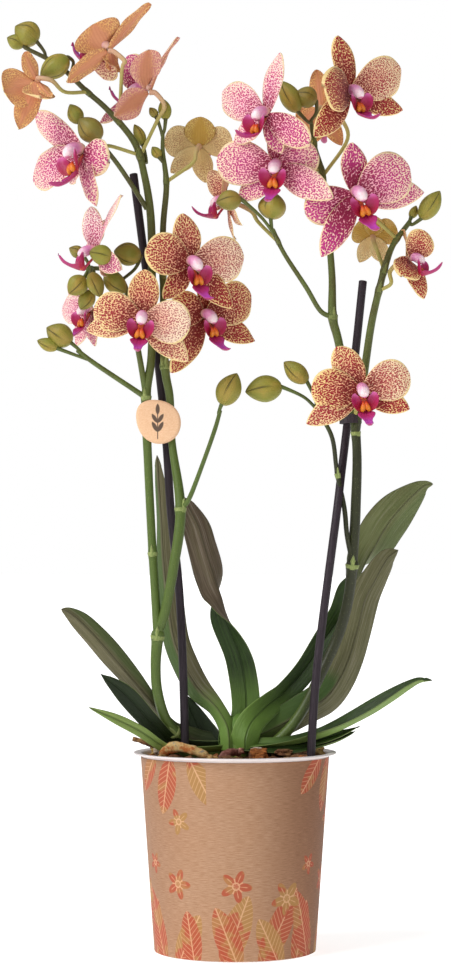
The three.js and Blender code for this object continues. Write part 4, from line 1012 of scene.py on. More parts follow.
# Stems as rows of [x, z, depth, radius], with their joints and the buds they bear. A bud has its stalk's
# start, its base and its tip as [x, z, depth], and its width.
STEMS = {
    "spike_left_base": {
        "rows": [[-7, 89, 5, 2.4], [-15, 90.5, 4.5, 2.5], [-22, 92.4, 2.6, 2.6], [-27, 96.4, -2.4, 2.8],
                 [-31.4, 103.6, -6, 2.4], [-34.5, 115, -8.6, 2.3], [-35.2, 126, -8.6, 2.3],
                 [-34.6, 136, -8, 2.6], [-34.2, 140, -8, 2.9]],
        "joints": [[-27, 96.4, -2.4], [-34.4, 138.5, -8]],
    },
    "spike_left_outer": {
        "rows": [[-34.3, 141, -8, 2.1], [-35.6, 160, -5, 1.9], [-37, 183, -2, 1.9], [-38.6, 215, 0, 1.9],
                 [-39.6, 245, 0, 2.1], [-37.2, 264, 0, 1.8], [-37, 300, 0, 1.8], [-37.6, 326, 0, 1.8],
                 [-40.5, 345, 0, 1.6], [-45, 359.5, 0, 1.5], [-56.5, 373.5, 0, 1.3], [-66.5, 382.5, 0, 1.2],
                 [-79, 394, -1, 1.1], [-94, 402, -2, 0.9]],
        "joints": [[-36.2, 175.6, -3], [-39.6, 245, 0]],
        "buds": [
            [[-84.7, 398, -1], [-88.6, 404.6, -1], [-98.4, 411.6, -2], 10.5],
            [[-92, 401.4, -2], [-94.6, 402.6, -2], [-102, 406.5, -3], 6],
            [[-73, 391.4, -2], [-74.6, 397.6, -6], [-87, 389, -8], 9],
            [[-39.5, 350, 1], [-41, 357.8, 4], [-45, 367.5, 5], 4.6],
        ],
    },
    "spike_left_inner": {
        "rows": [[-34.1, 141, -8, 2.2], [-31, 150, -8.5, 2.2], [-27.4, 169, -8.5, 2.2], [-24.2, 195, -6, 2.3],
                 [-28, 225, 0, 1.7], [-29, 245, 1, 1.8], [-31.2, 259, 1, 1.9], [-32, 290, 3, 1.5],
                 [-32.1, 320, 3, 1.4], [-30.6, 340, 3, 1.3], [-32.2, 355, 3, 1], [-32.2, 363.5, 3, 0.8]],
        "joints": [[-24.2, 195.5, -6], [-31.2, 259, 1]],
        "buds": [
            [[-32.2, 363, 3], [-31, 369.5, 3], [-32.2, 379, 3], 5.2],
            [[-32.4, 362, 3], [-35, 370.5, 2], [-38.2, 375, 2], 3.4],
            [[-31.8, 350, 3], [-33.6, 352.4, 1], [-37, 357.4, 0], 4],
        ],
    },
    "spike_left_thin_branch": {
        "rows": [[-24.2, 196, -6, 1.2], [-20.4, 200, -8, 1.1], [-13.8, 217, -9, 1], [-8.9, 231, -9, 1],
                 [-6.6, 239, -9, 0.9]],
        "buds": [[[-6.9, 238, -9], [-6, 242, -9], [0.9, 256, -9], 9.6]],
    },
    "spike_left_bud_branch": {
        "rows": [[-39.6, 246, 0, 1.4], [-42.5, 263, -2, 1.3], [-46, 281, -3, 1.3], [-49.5, 296, -4, 1.2],
                 [-56, 302, -5, 1.1], [-66.5, 303, -6, 0.9]],
        "buds": [
            [[-50, 298, -4], [-42, 308, -6], [-54, 310.5, -9], 9],
            [[-56, 302, -5], [-55, 307.4, -24], [-64.8, 310.2, -29], 7.6],
            [[-65, 303, -6], [-67.6, 308.4, -6], [-74, 312, -6], 5],
            [[-66, 303, -6], [-67, 299, -9], [-74, 291.5, -12], 8],
            [[-63, 303, -6], [-64.5, 301, -13], [-60, 290, -16], 6.4],
            [[-55, 301, -5], [-58, 300, -9], [-48.6, 292, -13], 7.6],
            [[-63, 303, -5], [-64, 293, -5], [-69, 284.5, -6], 6.5],
        ],
    },
    "spike_left_low_branch": {
        "rows": [[-39.6, 245, 0, 1.3], [-45.5, 249, -1, 1.2], [-62, 260, -3, 1.1], [-70, 266, -4, 1]],
        "buds": [
            [[-68.5, 265, -4], [-73, 269.5, -4], [-84, 276.4, -4], 9.4],
            [[-64, 261.5, -3], [-79, 267, -5], [-88.2, 270.6, -6], 5.2],
        ],
    },
    "spike_left_top_branch": {
        "rows": [[-39.3, 329.5, 0, 1.2], [-45.5, 339.3, -3, 1.1], [-52, 349, -7, 1.1],
                 [-58.6, 357.5, -10.5, 1]],
        "buds": [
            [[-58, 357, -10.5], [-60.4, 360.5, -11.5], [-69.8, 370, -13], 9.6],
            [[-58.2, 357.4, -9.8], [-69.6, 368, -6], [-73.8, 376.5, -5], 6.2],
        ],
    },
    "spike_right_base": {
        "rows": [[8, 88, 2, 2.4], [15.8, 90.2, 1, 3.0], [19.6, 93.4, 0.6, 2.6], [25.3, 99.4, 0.4, 2.4],
                 [31.4, 108.6, 1, 2.4], [37.2, 120.4, 2, 2.4], [41.8, 130, 3, 2.4], [46, 139.6, 3, 2.4],
                 [49.4, 151, 2, 2.4], [51.2, 161, 1, 2.4], [52.2, 171, 0, 2.7]],
        "joints": [[16.4, 90.6, 1], [52, 170, 0]],
    },
    "spike_right_main": {
        "rows": [[52.2, 172.5, 0, 2.4], [53.7, 196, 0, 2.3], [53.8, 229, 0, 2], [46.6, 268, 2, 1.9],
                 [43.6, 281, 2, 2], [43.3, 300, 2, 1.6], [41.2, 325, 2, 1.5], [39, 345, 2, 1.4],
                 [35.6, 358, 2, 1], [34, 369, 1, 0.9]],
        "joints": [[53.8, 228, 0], [43.6, 281, 2]],
        "buds": [
            [[34.4, 368, 1], [28.4, 373, -2], [20.4, 387, -3], 8],
            [[34, 369, 1], [36.4, 377.5, -1], [27, 381.5, -3], 8.6],
        ],
    },
    "spike_right_outer": {
        "rows": [[53.8, 230, -0.5, 2], [57.6, 256, -1, 1.8], [60.7, 277, -1, 1.7], [64, 292, -1, 1.6],
                 [67.6, 305.5, -1, 1.5], [71, 314, -1, 1.3], [78, 323.6, -1, 1.1]],
        "buds": [
            [[77.6, 323, -1], [83, 325, -2], [91.6, 337.6, -3], 7.6],
            [[77.6, 323, -1], [78.6, 325.5, 1], [81, 331, 2], 3.6],
        ],
    },
    "spike_right_thin_branch": {
        "rows": [[51.8, 174, -0.5, 1.2], [49.8, 184, -2, 1.1], [48.6, 196, -2, 1.1], [45.4, 212, -1, 1],
                 [43, 228, -2, 1], [35.5, 241, -3, 0.9]],
        "joints": [[45.6, 210.5, -1]],
        "buds": [
            [[36.5, 240, -3], [32.2, 252, -4], [21.8, 261, -5], 7.6],
            [[35.7, 240.8, -3], [21, 249.8, -3], [4.6, 247.6, -4], 10.4],
        ],
    },
    "spike_right_bud_branch": {
        "rows": [[43.4, 281, 2, 1.2], [38, 284, 0, 1.1], [31.7, 294.5, -2, 1.1], [22, 309.5, -3, 1],
                 [17, 320, -4, 1]],
        "buds": [
            [[17.4, 319, -4], [16, 325, -4], [17.4, 337, -5], 11],
            [[18, 317.5, -4], [2.8, 333.8, -8], [-8.4, 332.4, -10], 8],
        ],
    },
}


BUD_LOOK, BRACT_LOOK = 0, 1  # places in the list of the piece's finishes
STEM_END = [[0.35, 0.9], [0.6, 0.6], [0.7, 0.2]]  # past the end and the radius there, in radii
COLLAR_HEIGHTS = np.array([-1.0, -0.8, 0.1, 0.7, 0.9])
COLLAR_GIRTHS = np.array([0.92, 1.01, 1.06, 1.05, 0.96])  # times the stem's radius
BUD_STALK_RADII = [0.75, 0.75, 0.95, 1.2]
BUD_FULLNESS = 1.14  # times the widths above


def bud(shape, base, tip, width, pick):
    """A blunt bud from its base to its tip, with creases between its three outer leaves."""
    axis = tip - base
    share = np.concatenate([[0.0], 0.5 - 0.5 * np.cos(np.linspace(0.14, np.pi - 0.12, 24)), [1.0]])
    _, side, _ = axes_along(np.array([base, tip]))
    bend = side[0] * np.linalg.norm(axis) * 0.06
    path = base + axis * share[:, None] + bend * np.sin(np.pi * share)[:, None]
    swell = np.sin(np.pi * share ** 0.86) ** (0.5 + 0.22 * share)
    radii = width / 2 * BUD_FULLNESS * np.maximum(swell, 0.03)
    ridge = lambda angle: np.abs(np.cos(1.5 * angle))
    section = lambda share, angle: 0.88 + 0.17 * ridge(angle) ** 0.6 * np.sin(np.pi * share) ** 0.5
    sides = 24
    angles = np.linspace(0, 2 * np.pi, sides, endpoint=False)[None, :]
    keel = ridge(angles) * np.ones((len(path), 1))
    swept(shape, path, radii, sides, BUD_LOOK, section, spin=pick * 6, keel=keel, pick=pick)


def bract(shape, foot, way, outward, length, width):
    """A small pointed scale that hugs a stem."""
    rows = 12
    share = np.linspace(0, 1, rows)
    centres = foot + way * (length * share)[:, None] + outward * (0.35 + 0.5 * share ** 2)[:, None]
    across = np.repeat(np.cross(way, outward)[None], rows, axis=0)
    face = np.repeat(outward[None], rows, axis=0)
    halves = width / 2 * np.clip(1.05 - share ** 1.6, 0.06, 1)
    wrap = lambda share, v: -0.55 * width * v ** 2
    blade(shape, centres, across, face, halves, wrap, 0.3, 8, BRACT_LOOK, pick=0.5)


def make_stem(name, row):
    """A stem that swells at its joints. A ringed joint has a collar, and every joint has a bract."""
    rows = between([[*at(*place[:3]), place[3]] for place in row["rows"]], 10)
    chance = random.Random(name)
    trim = Shape()
    along = unit(np.gradient(rows[:, :3], axis=0))
    uneven = lambda share, angle: 1 + 0.05 * np.sin(2 * angle + 4 * share)
    ringed = [at(*place) for place in row.get("joints", [])]
    flowering = [at(*flower["join"]) for flower in FLOWERS.values() if flower["stem"] == name]
    for number, joint in enumerate(ringed + flowering):
        gaps = np.linalg.norm(rows[:, :3] - joint, axis=1)
        nearest = int(gaps.argmin())
        rows[:, 3] += 0.3 * np.exp(-(gaps / 1.6) ** 2)
        middle, radius, way = rows[nearest, :3], rows[nearest, 3], along[nearest]
        if number < len(ringed):
            path = middle + way * COLLAR_HEIGHTS[:, None]
            swept(trim, path, radius * COLLAR_GIRTHS, 20, BRACT_LOOK, uneven)
        outward = unit(np.array([chance.uniform(-1, 1), -1, 0.1]))
        outward = unit(outward - way * outward.dot(way))
        foot = middle + outward * radius * 0.85 - way * 1.4
        bract(trim, foot, way, outward, 3.6 + radius, radius * 1.9)
    end = rounded_end(rows[-1, :3], along[-1], rows[-1, 3], rows[-1, 3], STEM_END)
    paths = [np.vstack([rows, end])]
    for start, base, tip, width in row.get("buds", []):
        start, base, tip = at(*start), at(*base), at(*tip)
        bend = (start + base) / 2 - (tip - base) * 0.12
        places = [start, bend, base, base + (tip - base) * 0.08]
        paths.append(thick_path(places, BUD_STALK_RADII, 8))
        bud(trim, base, tip, width, chance.random())
    stalks(name, name, "stem_green", paths, STEM)
    if trim.points:
        trim.piece(name + "_buds", name, "stem_green", BUD, BRACT)


# Leaves as rows of [x, z, depth, half width, turn, fold] from the crown to the tip. A turn of 0 degrees
# shows the upper side to the viewer, 90 the edge and 180 the underside. fold is how the halves rise.
LEAVES = {
    "leaf_left_long": [
        [-1, 90.5, 3, 4, 190, 0.5], [-13.3, 91.5, 3, 5, 190, 0.5], [-22.2, 94.6, 2, 4.5, 190, 0.6],
        [-27.9, 98.6, 0.5, 2.8, 185, 0.7], [-33.2, 104.8, -2, 2.4, 182, 0.8],
        [-39, 112.1, -6, 3.4, 182, 0.6], [-46.4, 120.8, -9, 4.6, 182, 0.5],
        [-54.5, 130.2, -13, 5.2, 182, 0.45], [-61.6, 138.3, -17, 4.9, 182, 0.4],
        [-68.3, 145.1, -21, 4.2, 182, 0.4], [-73.4, 149.2, -24, 2.5, 182, 0.3],
        [-77.2, 151, -26, 0.5, 182, 0.2],
    ],
    "leaf_left_middle": [
        [0, 90, 3, 4, 15, 0.6], [-14, 89, 2, 4.6, 15, 0.6], [-27, 91, -1, 4.4, 10, 0.5],
        [-37.4, 101.3, -8, 4.4, 10, 0.4], [-48.7, 113.6, -13, 4.2, 10, 0.3],
        [-59.8, 122.4, -18, 0.5, 10, 0.2],
    ],
    "leaf_left_low": [
        [-2, 89, -2, 3.4, 30, 0.6], [-14, 88.2, -7, 3.4, 30, 0.5], [-29, 89.4, -10, 3, 30, 0.5],
        [-41.7, 97.2, -14, 2.6, 25, 0.4], [-53.6, 103, -19, 2.1, 20, 0.3],
        [-65.2, 107.6, -24, 0.4, 20, 0.2],
    ],
    "leaf_left_short": [
        [-9, 88, 5, 7.5, 10, 0.5], [-13.2, 93, 7, 8, 8, 0.4], [-16.6, 100, 9, 6, 5, 0.35],
        [-19.6, 107, 10.5, 3.6, 5, 0.3], [-21.8, 113, 11, 0.5, 5, 0.2],
    ],
    "leaf_back": [
        [-2.6, 88.4, -8.2, 3.8, 178, 0.9], [-2.8, 94.6, -7.6, 3.8, 176, 0.9],
        [-4.2, 100.6, -4.4, 3.7, 172, 0.8], [-8.8, 108, 0.6, 3.8, 175, 0.7],
        [-16.4, 115.9, 6, 5.5, 180, 0.6], [-22.2, 125.6, 10, 6, 190, 0.5], [-27, 138, 13, 6, 195, 0.5],
        [-29.7, 155.8, 14.5, 6, 205, 0.5], [-31.5, 173.5, 15, 5.4, 212, 0.5],
        [-32.4, 191.2, 15, 4.7, 215, 0.5], [-33.9, 209, 15, 2.6, 205, 0.4],
        [-34.7, 219.6, 14, 0.5, 190, 0.2],
    ],
    "leaf_centre": [
        [2, 97, 2, 5, 10, 0.5], [4.9, 105.7, 4, 6.2, 10, 0.4], [5.1, 113.7, 5, 6.4, 14, 0.4],
        [3.7, 124.7, 5, 6.4, 18, 0.45], [2.1, 131.4, 5, 6.2, 24, 0.5], [0, 137.2, 5, 6.1, 32, 0.6],
        [-2.8, 144.3, 5, 6.2, 48, 0.75], [-5, 150.5, 5, 6.6, 74, 0.85], [-6.6, 156.2, 5.5, 7, 100, 0.8],
        [-8.8, 162.4, 6, 6.8, 134, 0.6], [-10.9, 169.5, 7, 7.1, 157, 0.55],
        [-14.2, 180.2, 8, 6.8, 163, 0.5], [-16.6, 187.8, 9, 6.4, 165, 0.45],
        [-20.4, 195.9, 10, 3.9, 168, 0.4], [-22.8, 200.8, 10, 0.5, 170, 0.2],
    ],
    "leaf_right_back": [
        [4.6, 88.4, -9, 6, -4, -0.6], [4.8, 94.4, -8.8, 6.2, -6, -0.45], [7.6, 101.4, -4.4, 6.2, -12, 0.1],
        [14.6, 108.7, 4, 5.6, -15, 0.45], [22.4, 114.8, 10, 5.2, -12, 0.5], [31, 124.3, 12, 5.2, -10, 0.5],
        [38.6, 135.8, 14, 5.4, -5, 0.5], [47.9, 148.7, 19, 5.8, 30, 0.6], [53.2, 161.1, 23, 7.1, 75, 0.8],
        [57.2, 170.9, 26, 7.6, 122, 0.8], [62.4, 179.7, 28, 9.4, 162, 0.5],
        [67.4, 188.1, 30, 9.8, 170, 0.4], [73.6, 195.8, 31, 8.6, 172, 0.4], [81.1, 203.2, 32, 5, 172, 0.3],
        [84.7, 205.9, 32.6, 2.4, 165, 0.2], [88.2, 206.6, 33, 0.5, 160, 0.2],
    ],
    "leaf_right_front": [
        [2, 91, -2, 5, 165, 0.5], [8.9, 94.6, 1, 5.6, 165, 0.5], [20, 99.9, 5, 7, 165, 0.4],
        [31, 106.1, 7.2, 7.6, 165, 0.35], [39.9, 111.4, 8.2, 8.2, 165, 0.35],
        [45.7, 119, 8.8, 8.2, 165, 0.35], [50.5, 129.2, 9.4, 7.6, 165, 0.35],
        [54.1, 141.6, 10, 7.4, 165, 0.35], [57.6, 154.9, 11, 7.4, 165, 0.35],
        [62.5, 164.6, 13, 6.2, 165, 0.35], [67.8, 173.5, 15, 4.4, 165, 0.3],
        [72.7, 177.3, 17, 0.5, 165, 0.2],
    ],
    "leaf_right_strap": [
        [5, 90.5, -5, 3.4, 60, 0.5], [21, 91, -7.5, 3.6, 70, 0.7], [35.5, 93.9, -5.4, 4, 75, 0.8],
        [45.2, 97.3, -7, 4.4, 75, 0.8], [53.6, 101.3, -9, 4.6, 75, 0.8], [61.9, 105.7, -11, 4.9, 75, 0.8],
        [70.5, 111.2, -13, 4.5, 75, 0.8], [77.6, 116.1, -15, 3.6, 75, 0.75],
        [82.4, 118.8, -16, 2.6, 72, 0.6], [87.8, 119.4, -18, 0.5, 70, 0.2],
    ],
    "leaf_right_dark_upper": [
        [4, 89.8, -6, 2.6, 60, 0.5], [18, 89.6, -4.4, 2.8, 60, 0.5], [31, 91, -3, 2.8, 55, 0.5],
        [45, 94.8, -4, 2.2, 50, 0.4], [55.8, 99.2, -6, 0.4, 50, 0.2],
    ],
    "leaf_right_dark_lower": [
        [2, 88.4, -8, 2.4, 60, 0.5], [14, 88, -9.6, 2.4, 60, 0.5], [27, 88.4, -8.8, 2.4, 60, 0.4],
        [43, 92, -2, 2.2, 60, 0.4], [53.8, 97, -4, 0.4, 60, 0.2],
    ],
}
# How plum brown each underside is, how bright green its foot is (at 0 the foot is painted in shade), how
# green its half on the right (above 0) or on the left (below 0) of the midrib is underneath, how far up that
# green half goes, and how pale its upper side is (below 0, painted shade darkens it)
LEAF_TINTS = {
    "leaf_left_long": [0.85, 0, -0.55, 1, 0],
    "leaf_left_middle": [0.3, 0, 0, 1, -0.8],
    "leaf_left_low": [0, 0.5, 0, 1, 1],
    "leaf_left_short": [0.2, 0, 0, 1, -0.8],
    "leaf_back": [0.85, 1, 0.8, 1, 0],
    "leaf_centre": [1, 0.7, 0, 1, 0],
    "leaf_right_back": [0.6, 1, -0.4, 1, 0],
    "leaf_right_front": [0.8, 0.6, 1, 0.46, 0],
    "leaf_right_strap": [0, 0.6, 0, 1, 0],
    "leaf_right_dark_upper": [0, 0, 0, 1, 0],
    "leaf_right_dark_lower": [0, 0, 0, 1, 0],
}
LEAF_STEPS = 10


def make_leaf(name, rows):
    chance = random.Random(name)
    phase = chance.uniform(0, 6)
    smooth = between([[*at(*row[:3]), *row[3:]] for row in rows], LEAF_STEPS)
    centres, halves, folds = smooth[:, :3], smooth[:, 3], smooth[:, 5:6]
    along = unit(np.gradient(centres, axis=0))
    front = np.array([0.0, -1.0, 0.0])
    front = unit(front - along * along.dot(front)[:, None])
    beside = np.cross(along, front)
    turn = np.radians(smooth[:, 4:5])
    face = front * np.cos(turn) - beside * np.sin(turn)
    across = np.cross(along, face)
    last = len(halves) - 1
    from_tip = (last - np.arange(last + 1)) / LEAF_STEPS
    halves = np.maximum(halves, 0.05) * np.sqrt(np.clip(from_tip * 4, 0.0, 1)).clip(0.02)
    valley = lambda v: np.sqrt(v ** 2 + 0.012) - 0.11
    waves = lambda share, v: 0.5 * v * np.abs(v) * np.sin(9 * share + phase) * (share < 0.96)
    lift = lambda share, v: folds * halves[:, None] * valley(v) + waves(share, v)
    shape = Shape()
    brown, bright_foot, green_half, green_reach, pale = LEAF_TINTS[name]
    blade(shape, centres, across, face, halves, lift, LEAF_THICKNESS, 20, pick=chance.random(),
          brown=brown, bright_foot=bright_foot, green_half=green_half, green_reach=green_reach, pale=pale)
    shape.piece(name, name, "leaf_green", LEAF)


# The crown's sheaths, as [way they face in degrees, height, half width, lean]. 0 degrees faces the viewer.
SHEATHS = [[66, 15, 8, 2.2], [150, 20, 7.4, 3.4], [-140, 17, 7.2, 3.4]]
SHEATH_FOOT = np.array([1.2, 0, 83])
CROWN_ROWS = [
    [1, 0, 60, 5], [1, 0, 84, 7.6], [1.4, 0, 90, 8.2], [1.8, 0.6, 95, 7.4], [2.2, 2, 100, 5.4],
    [2.6, 3, 103, 3], [2.8, 3.4, 104.4, 1.2],
]


def make_crown():
    """The upright crown: a ribbed bulb inside blunt sheaths that wrap it."""
    path = between(CROWN_ROWS, 8)
    ribbed = lambda share, angle: 1 + 0.02 * np.cos(9 * angle)
    shape = Shape()
    swept(shape, path[:, :3], path[:, 3], 40, section=ribbed)
    share = np.linspace(0, 1, 16)
    for angle, height, half, lean in SHEATHS:
        out = np.array([math.sin(math.radians(angle)), -math.cos(math.radians(angle)), 0])
        reach = 6.8 + 1.4 * np.sin(np.pi * share) + lean * share ** 2
        centres = SHEATH_FOOT + out * reach[:, None]
        centres[:, 2] += height * share
        along = unit(np.gradient(centres, axis=0))
        face = unit(out - along * along.dot(out)[:, None])
        halves = np.maximum(half * (1 - share ** 4) ** 0.6, 0.1)
        wrap = lambda share, v: -5.2 * v ** 2 * (1 - 0.3 * share)
        blade(shape, centres, np.cross(along, face), face, halves, wrap, 1.1, 16)
    shape.piece("crown", "crown", "crown_green", CROWN)


# Flowers. centre, join (where the flower's stalk meets its stem) and waypoint (which the stalk passes) are
# [x, z, depth]. facing is [to the right, up] in degrees, where [0, 0] looks at the viewer. roll turns the top
# towards the right, and droop is how far the lip's middle lobe hangs, both in degrees.
FLOWERS = {
    "flower_left_tip": {
        "centre": [-88.5, 387, -14], "facing": [-158, -10], "roll": -10, "size": 0.95,
        "waypoint": [-76, 382, -8], "join": [-65.8, 382, 0], "stem": "spike_left_outer", "look": "warm",
    },
    "flower_left_top": {
        "centre": [-56.7, 400.8, -4], "facing": [-118, 20], "roll": 0, "droop": -12, "size": 1.05,
        "waypoint": [-50.5, 392, -6], "join": [-51.5, 369.6, 0], "stem": "spike_left_outer", "look": "warm",
    },
    "flower_left_side": {
        "centre": [-38.6, 382, 0], "facing": [-102, 14], "roll": 0, "droop": -12, "size": 1,
        "waypoint": [-34.8, 369, 1], "join": [-42.4, 353, 0], "stem": "spike_left_outer", "look": "pink",
    },
    "flower_left_pink": {
        "centre": [-67.5, 354.8, -16], "facing": [-50, 0], "roll": -16, "droop": 40, "size": 1.18,
        "waypoint": [-56.4, 357.8, -4], "join": [-43.6, 354, 0], "stem": "spike_left_outer", "look": "pink",
    },
    "flower_left_olive": {
        "centre": [-16, 357.4, 12], "facing": [178, 6], "roll": 0, "size": 0.82,
        "waypoint": [-19, 350, 4], "join": [-30, 342, 3], "stem": "spike_left_inner", "look": "olive",
    },
    "flower_left_profile": {
        "centre": [-61.4, 309.4, -22], "facing": [-78, 8], "roll": 0, "droop": -4, "size": 0.9,
        "join": [-56.4, 302, -5], "stem": "spike_left_bud_branch", "look": "pink",
    },
    "flower_left_behind": {
        "centre": [-64, 284, 10], "facing": [-48, 0], "roll": 0, "size": 0.84,
        "join": [-47, 284, -3], "stem": "spike_left_bud_branch", "look": "pink",
    },
    "flower_left_front": {
        "centre": [-41.4, 280.2, -26], "facing": [0, 0], "roll": 6, "size": 1,
        "join": [-37.1, 290, 0], "stem": "spike_left_outer", "look": "warm",
    },
    "flower_middle_upper": {
        "centre": [-20.4, 304.8, -14], "facing": [30, -4], "roll": -6, "size": 1.04,
        "join": [-32, 300, 3], "stem": "spike_left_inner", "look": "warm",
    },
    "flower_middle_lower": {
        "centre": [-14, 281.2, 0], "facing": [34, -4], "roll": -10, "size": 0.98,
        "waypoint": [-20, 268, 6], "join": [-31.2, 259, 1], "stem": "spike_left_inner", "look": "warm",
    },
    "flower_middle_profile": {
        "centre": [-3.2, 332.4, 8], "facing": [-80, 4], "roll": 0, "droop": 0, "size": 0.84,
        "join": [19, 315, -3], "stem": "spike_right_bud_branch", "look": "warm",
    },
    "flower_right_pink_upper": {
        "centre": [14.4, 371.6, -20], "facing": [-40, 0], "roll": 8, "droop": 20, "size": 1,
        "join": [35.4, 359, 2], "stem": "spike_right_main", "look": "pink",
    },
    "flower_right_pink_lower": {
        "centre": [19, 348, -12], "facing": [-14, -4], "roll": 4, "size": 1.04,
        "join": [38.6, 347, 2], "stem": "spike_right_main", "look": "pink",
    },
    "flower_right_top": {
        "centre": [50.8, 381.2, -14], "facing": [36, 0], "roll": -8, "droop": 30, "size": 1,
        "waypoint": [50.4, 361, -2], "join": [39.2, 344, 2], "stem": "spike_right_main", "look": "warm",
    },
    "flower_right_hidden": {
        "centre": [38.6, 374.4, 14], "facing": [172, 0], "roll": 0, "size": 0.86,
        "join": [35.4, 359, 2], "stem": "spike_right_main", "look": "warm",
    },
    "flower_right_large": {
        "centre": [53.8, 335.8, -16], "facing": [16, -4], "roll": -14, "size": 1.1,
        "join": [72.4, 316, -1], "stem": "spike_right_outer", "look": "pink",
    },
    "flower_right_profile": {
        "centre": [77.1, 306.4, -6], "facing": [64, 6], "roll": 0, "droop": 0, "size": 0.84,
        "waypoint": [69.6, 296, -4], "join": [64.6, 293, -1], "stem": "spike_right_outer", "look": "warm",
    },
    "flower_right_olive": {
        "centre": [61.6, 317, 12], "facing": [176, 16], "roll": 0, "size": 0.62,
        "join": [66.6, 302, -1], "stem": "spike_right_outer", "look": "olive",
    },
    "flower_right_front": {
        "centre": [56.2, 248, -20], "facing": [6, -2], "roll": -6, "size": 1,
        "join": [53.4, 236, 0], "stem": "spike_right_main", "look": "warm",
    },
}
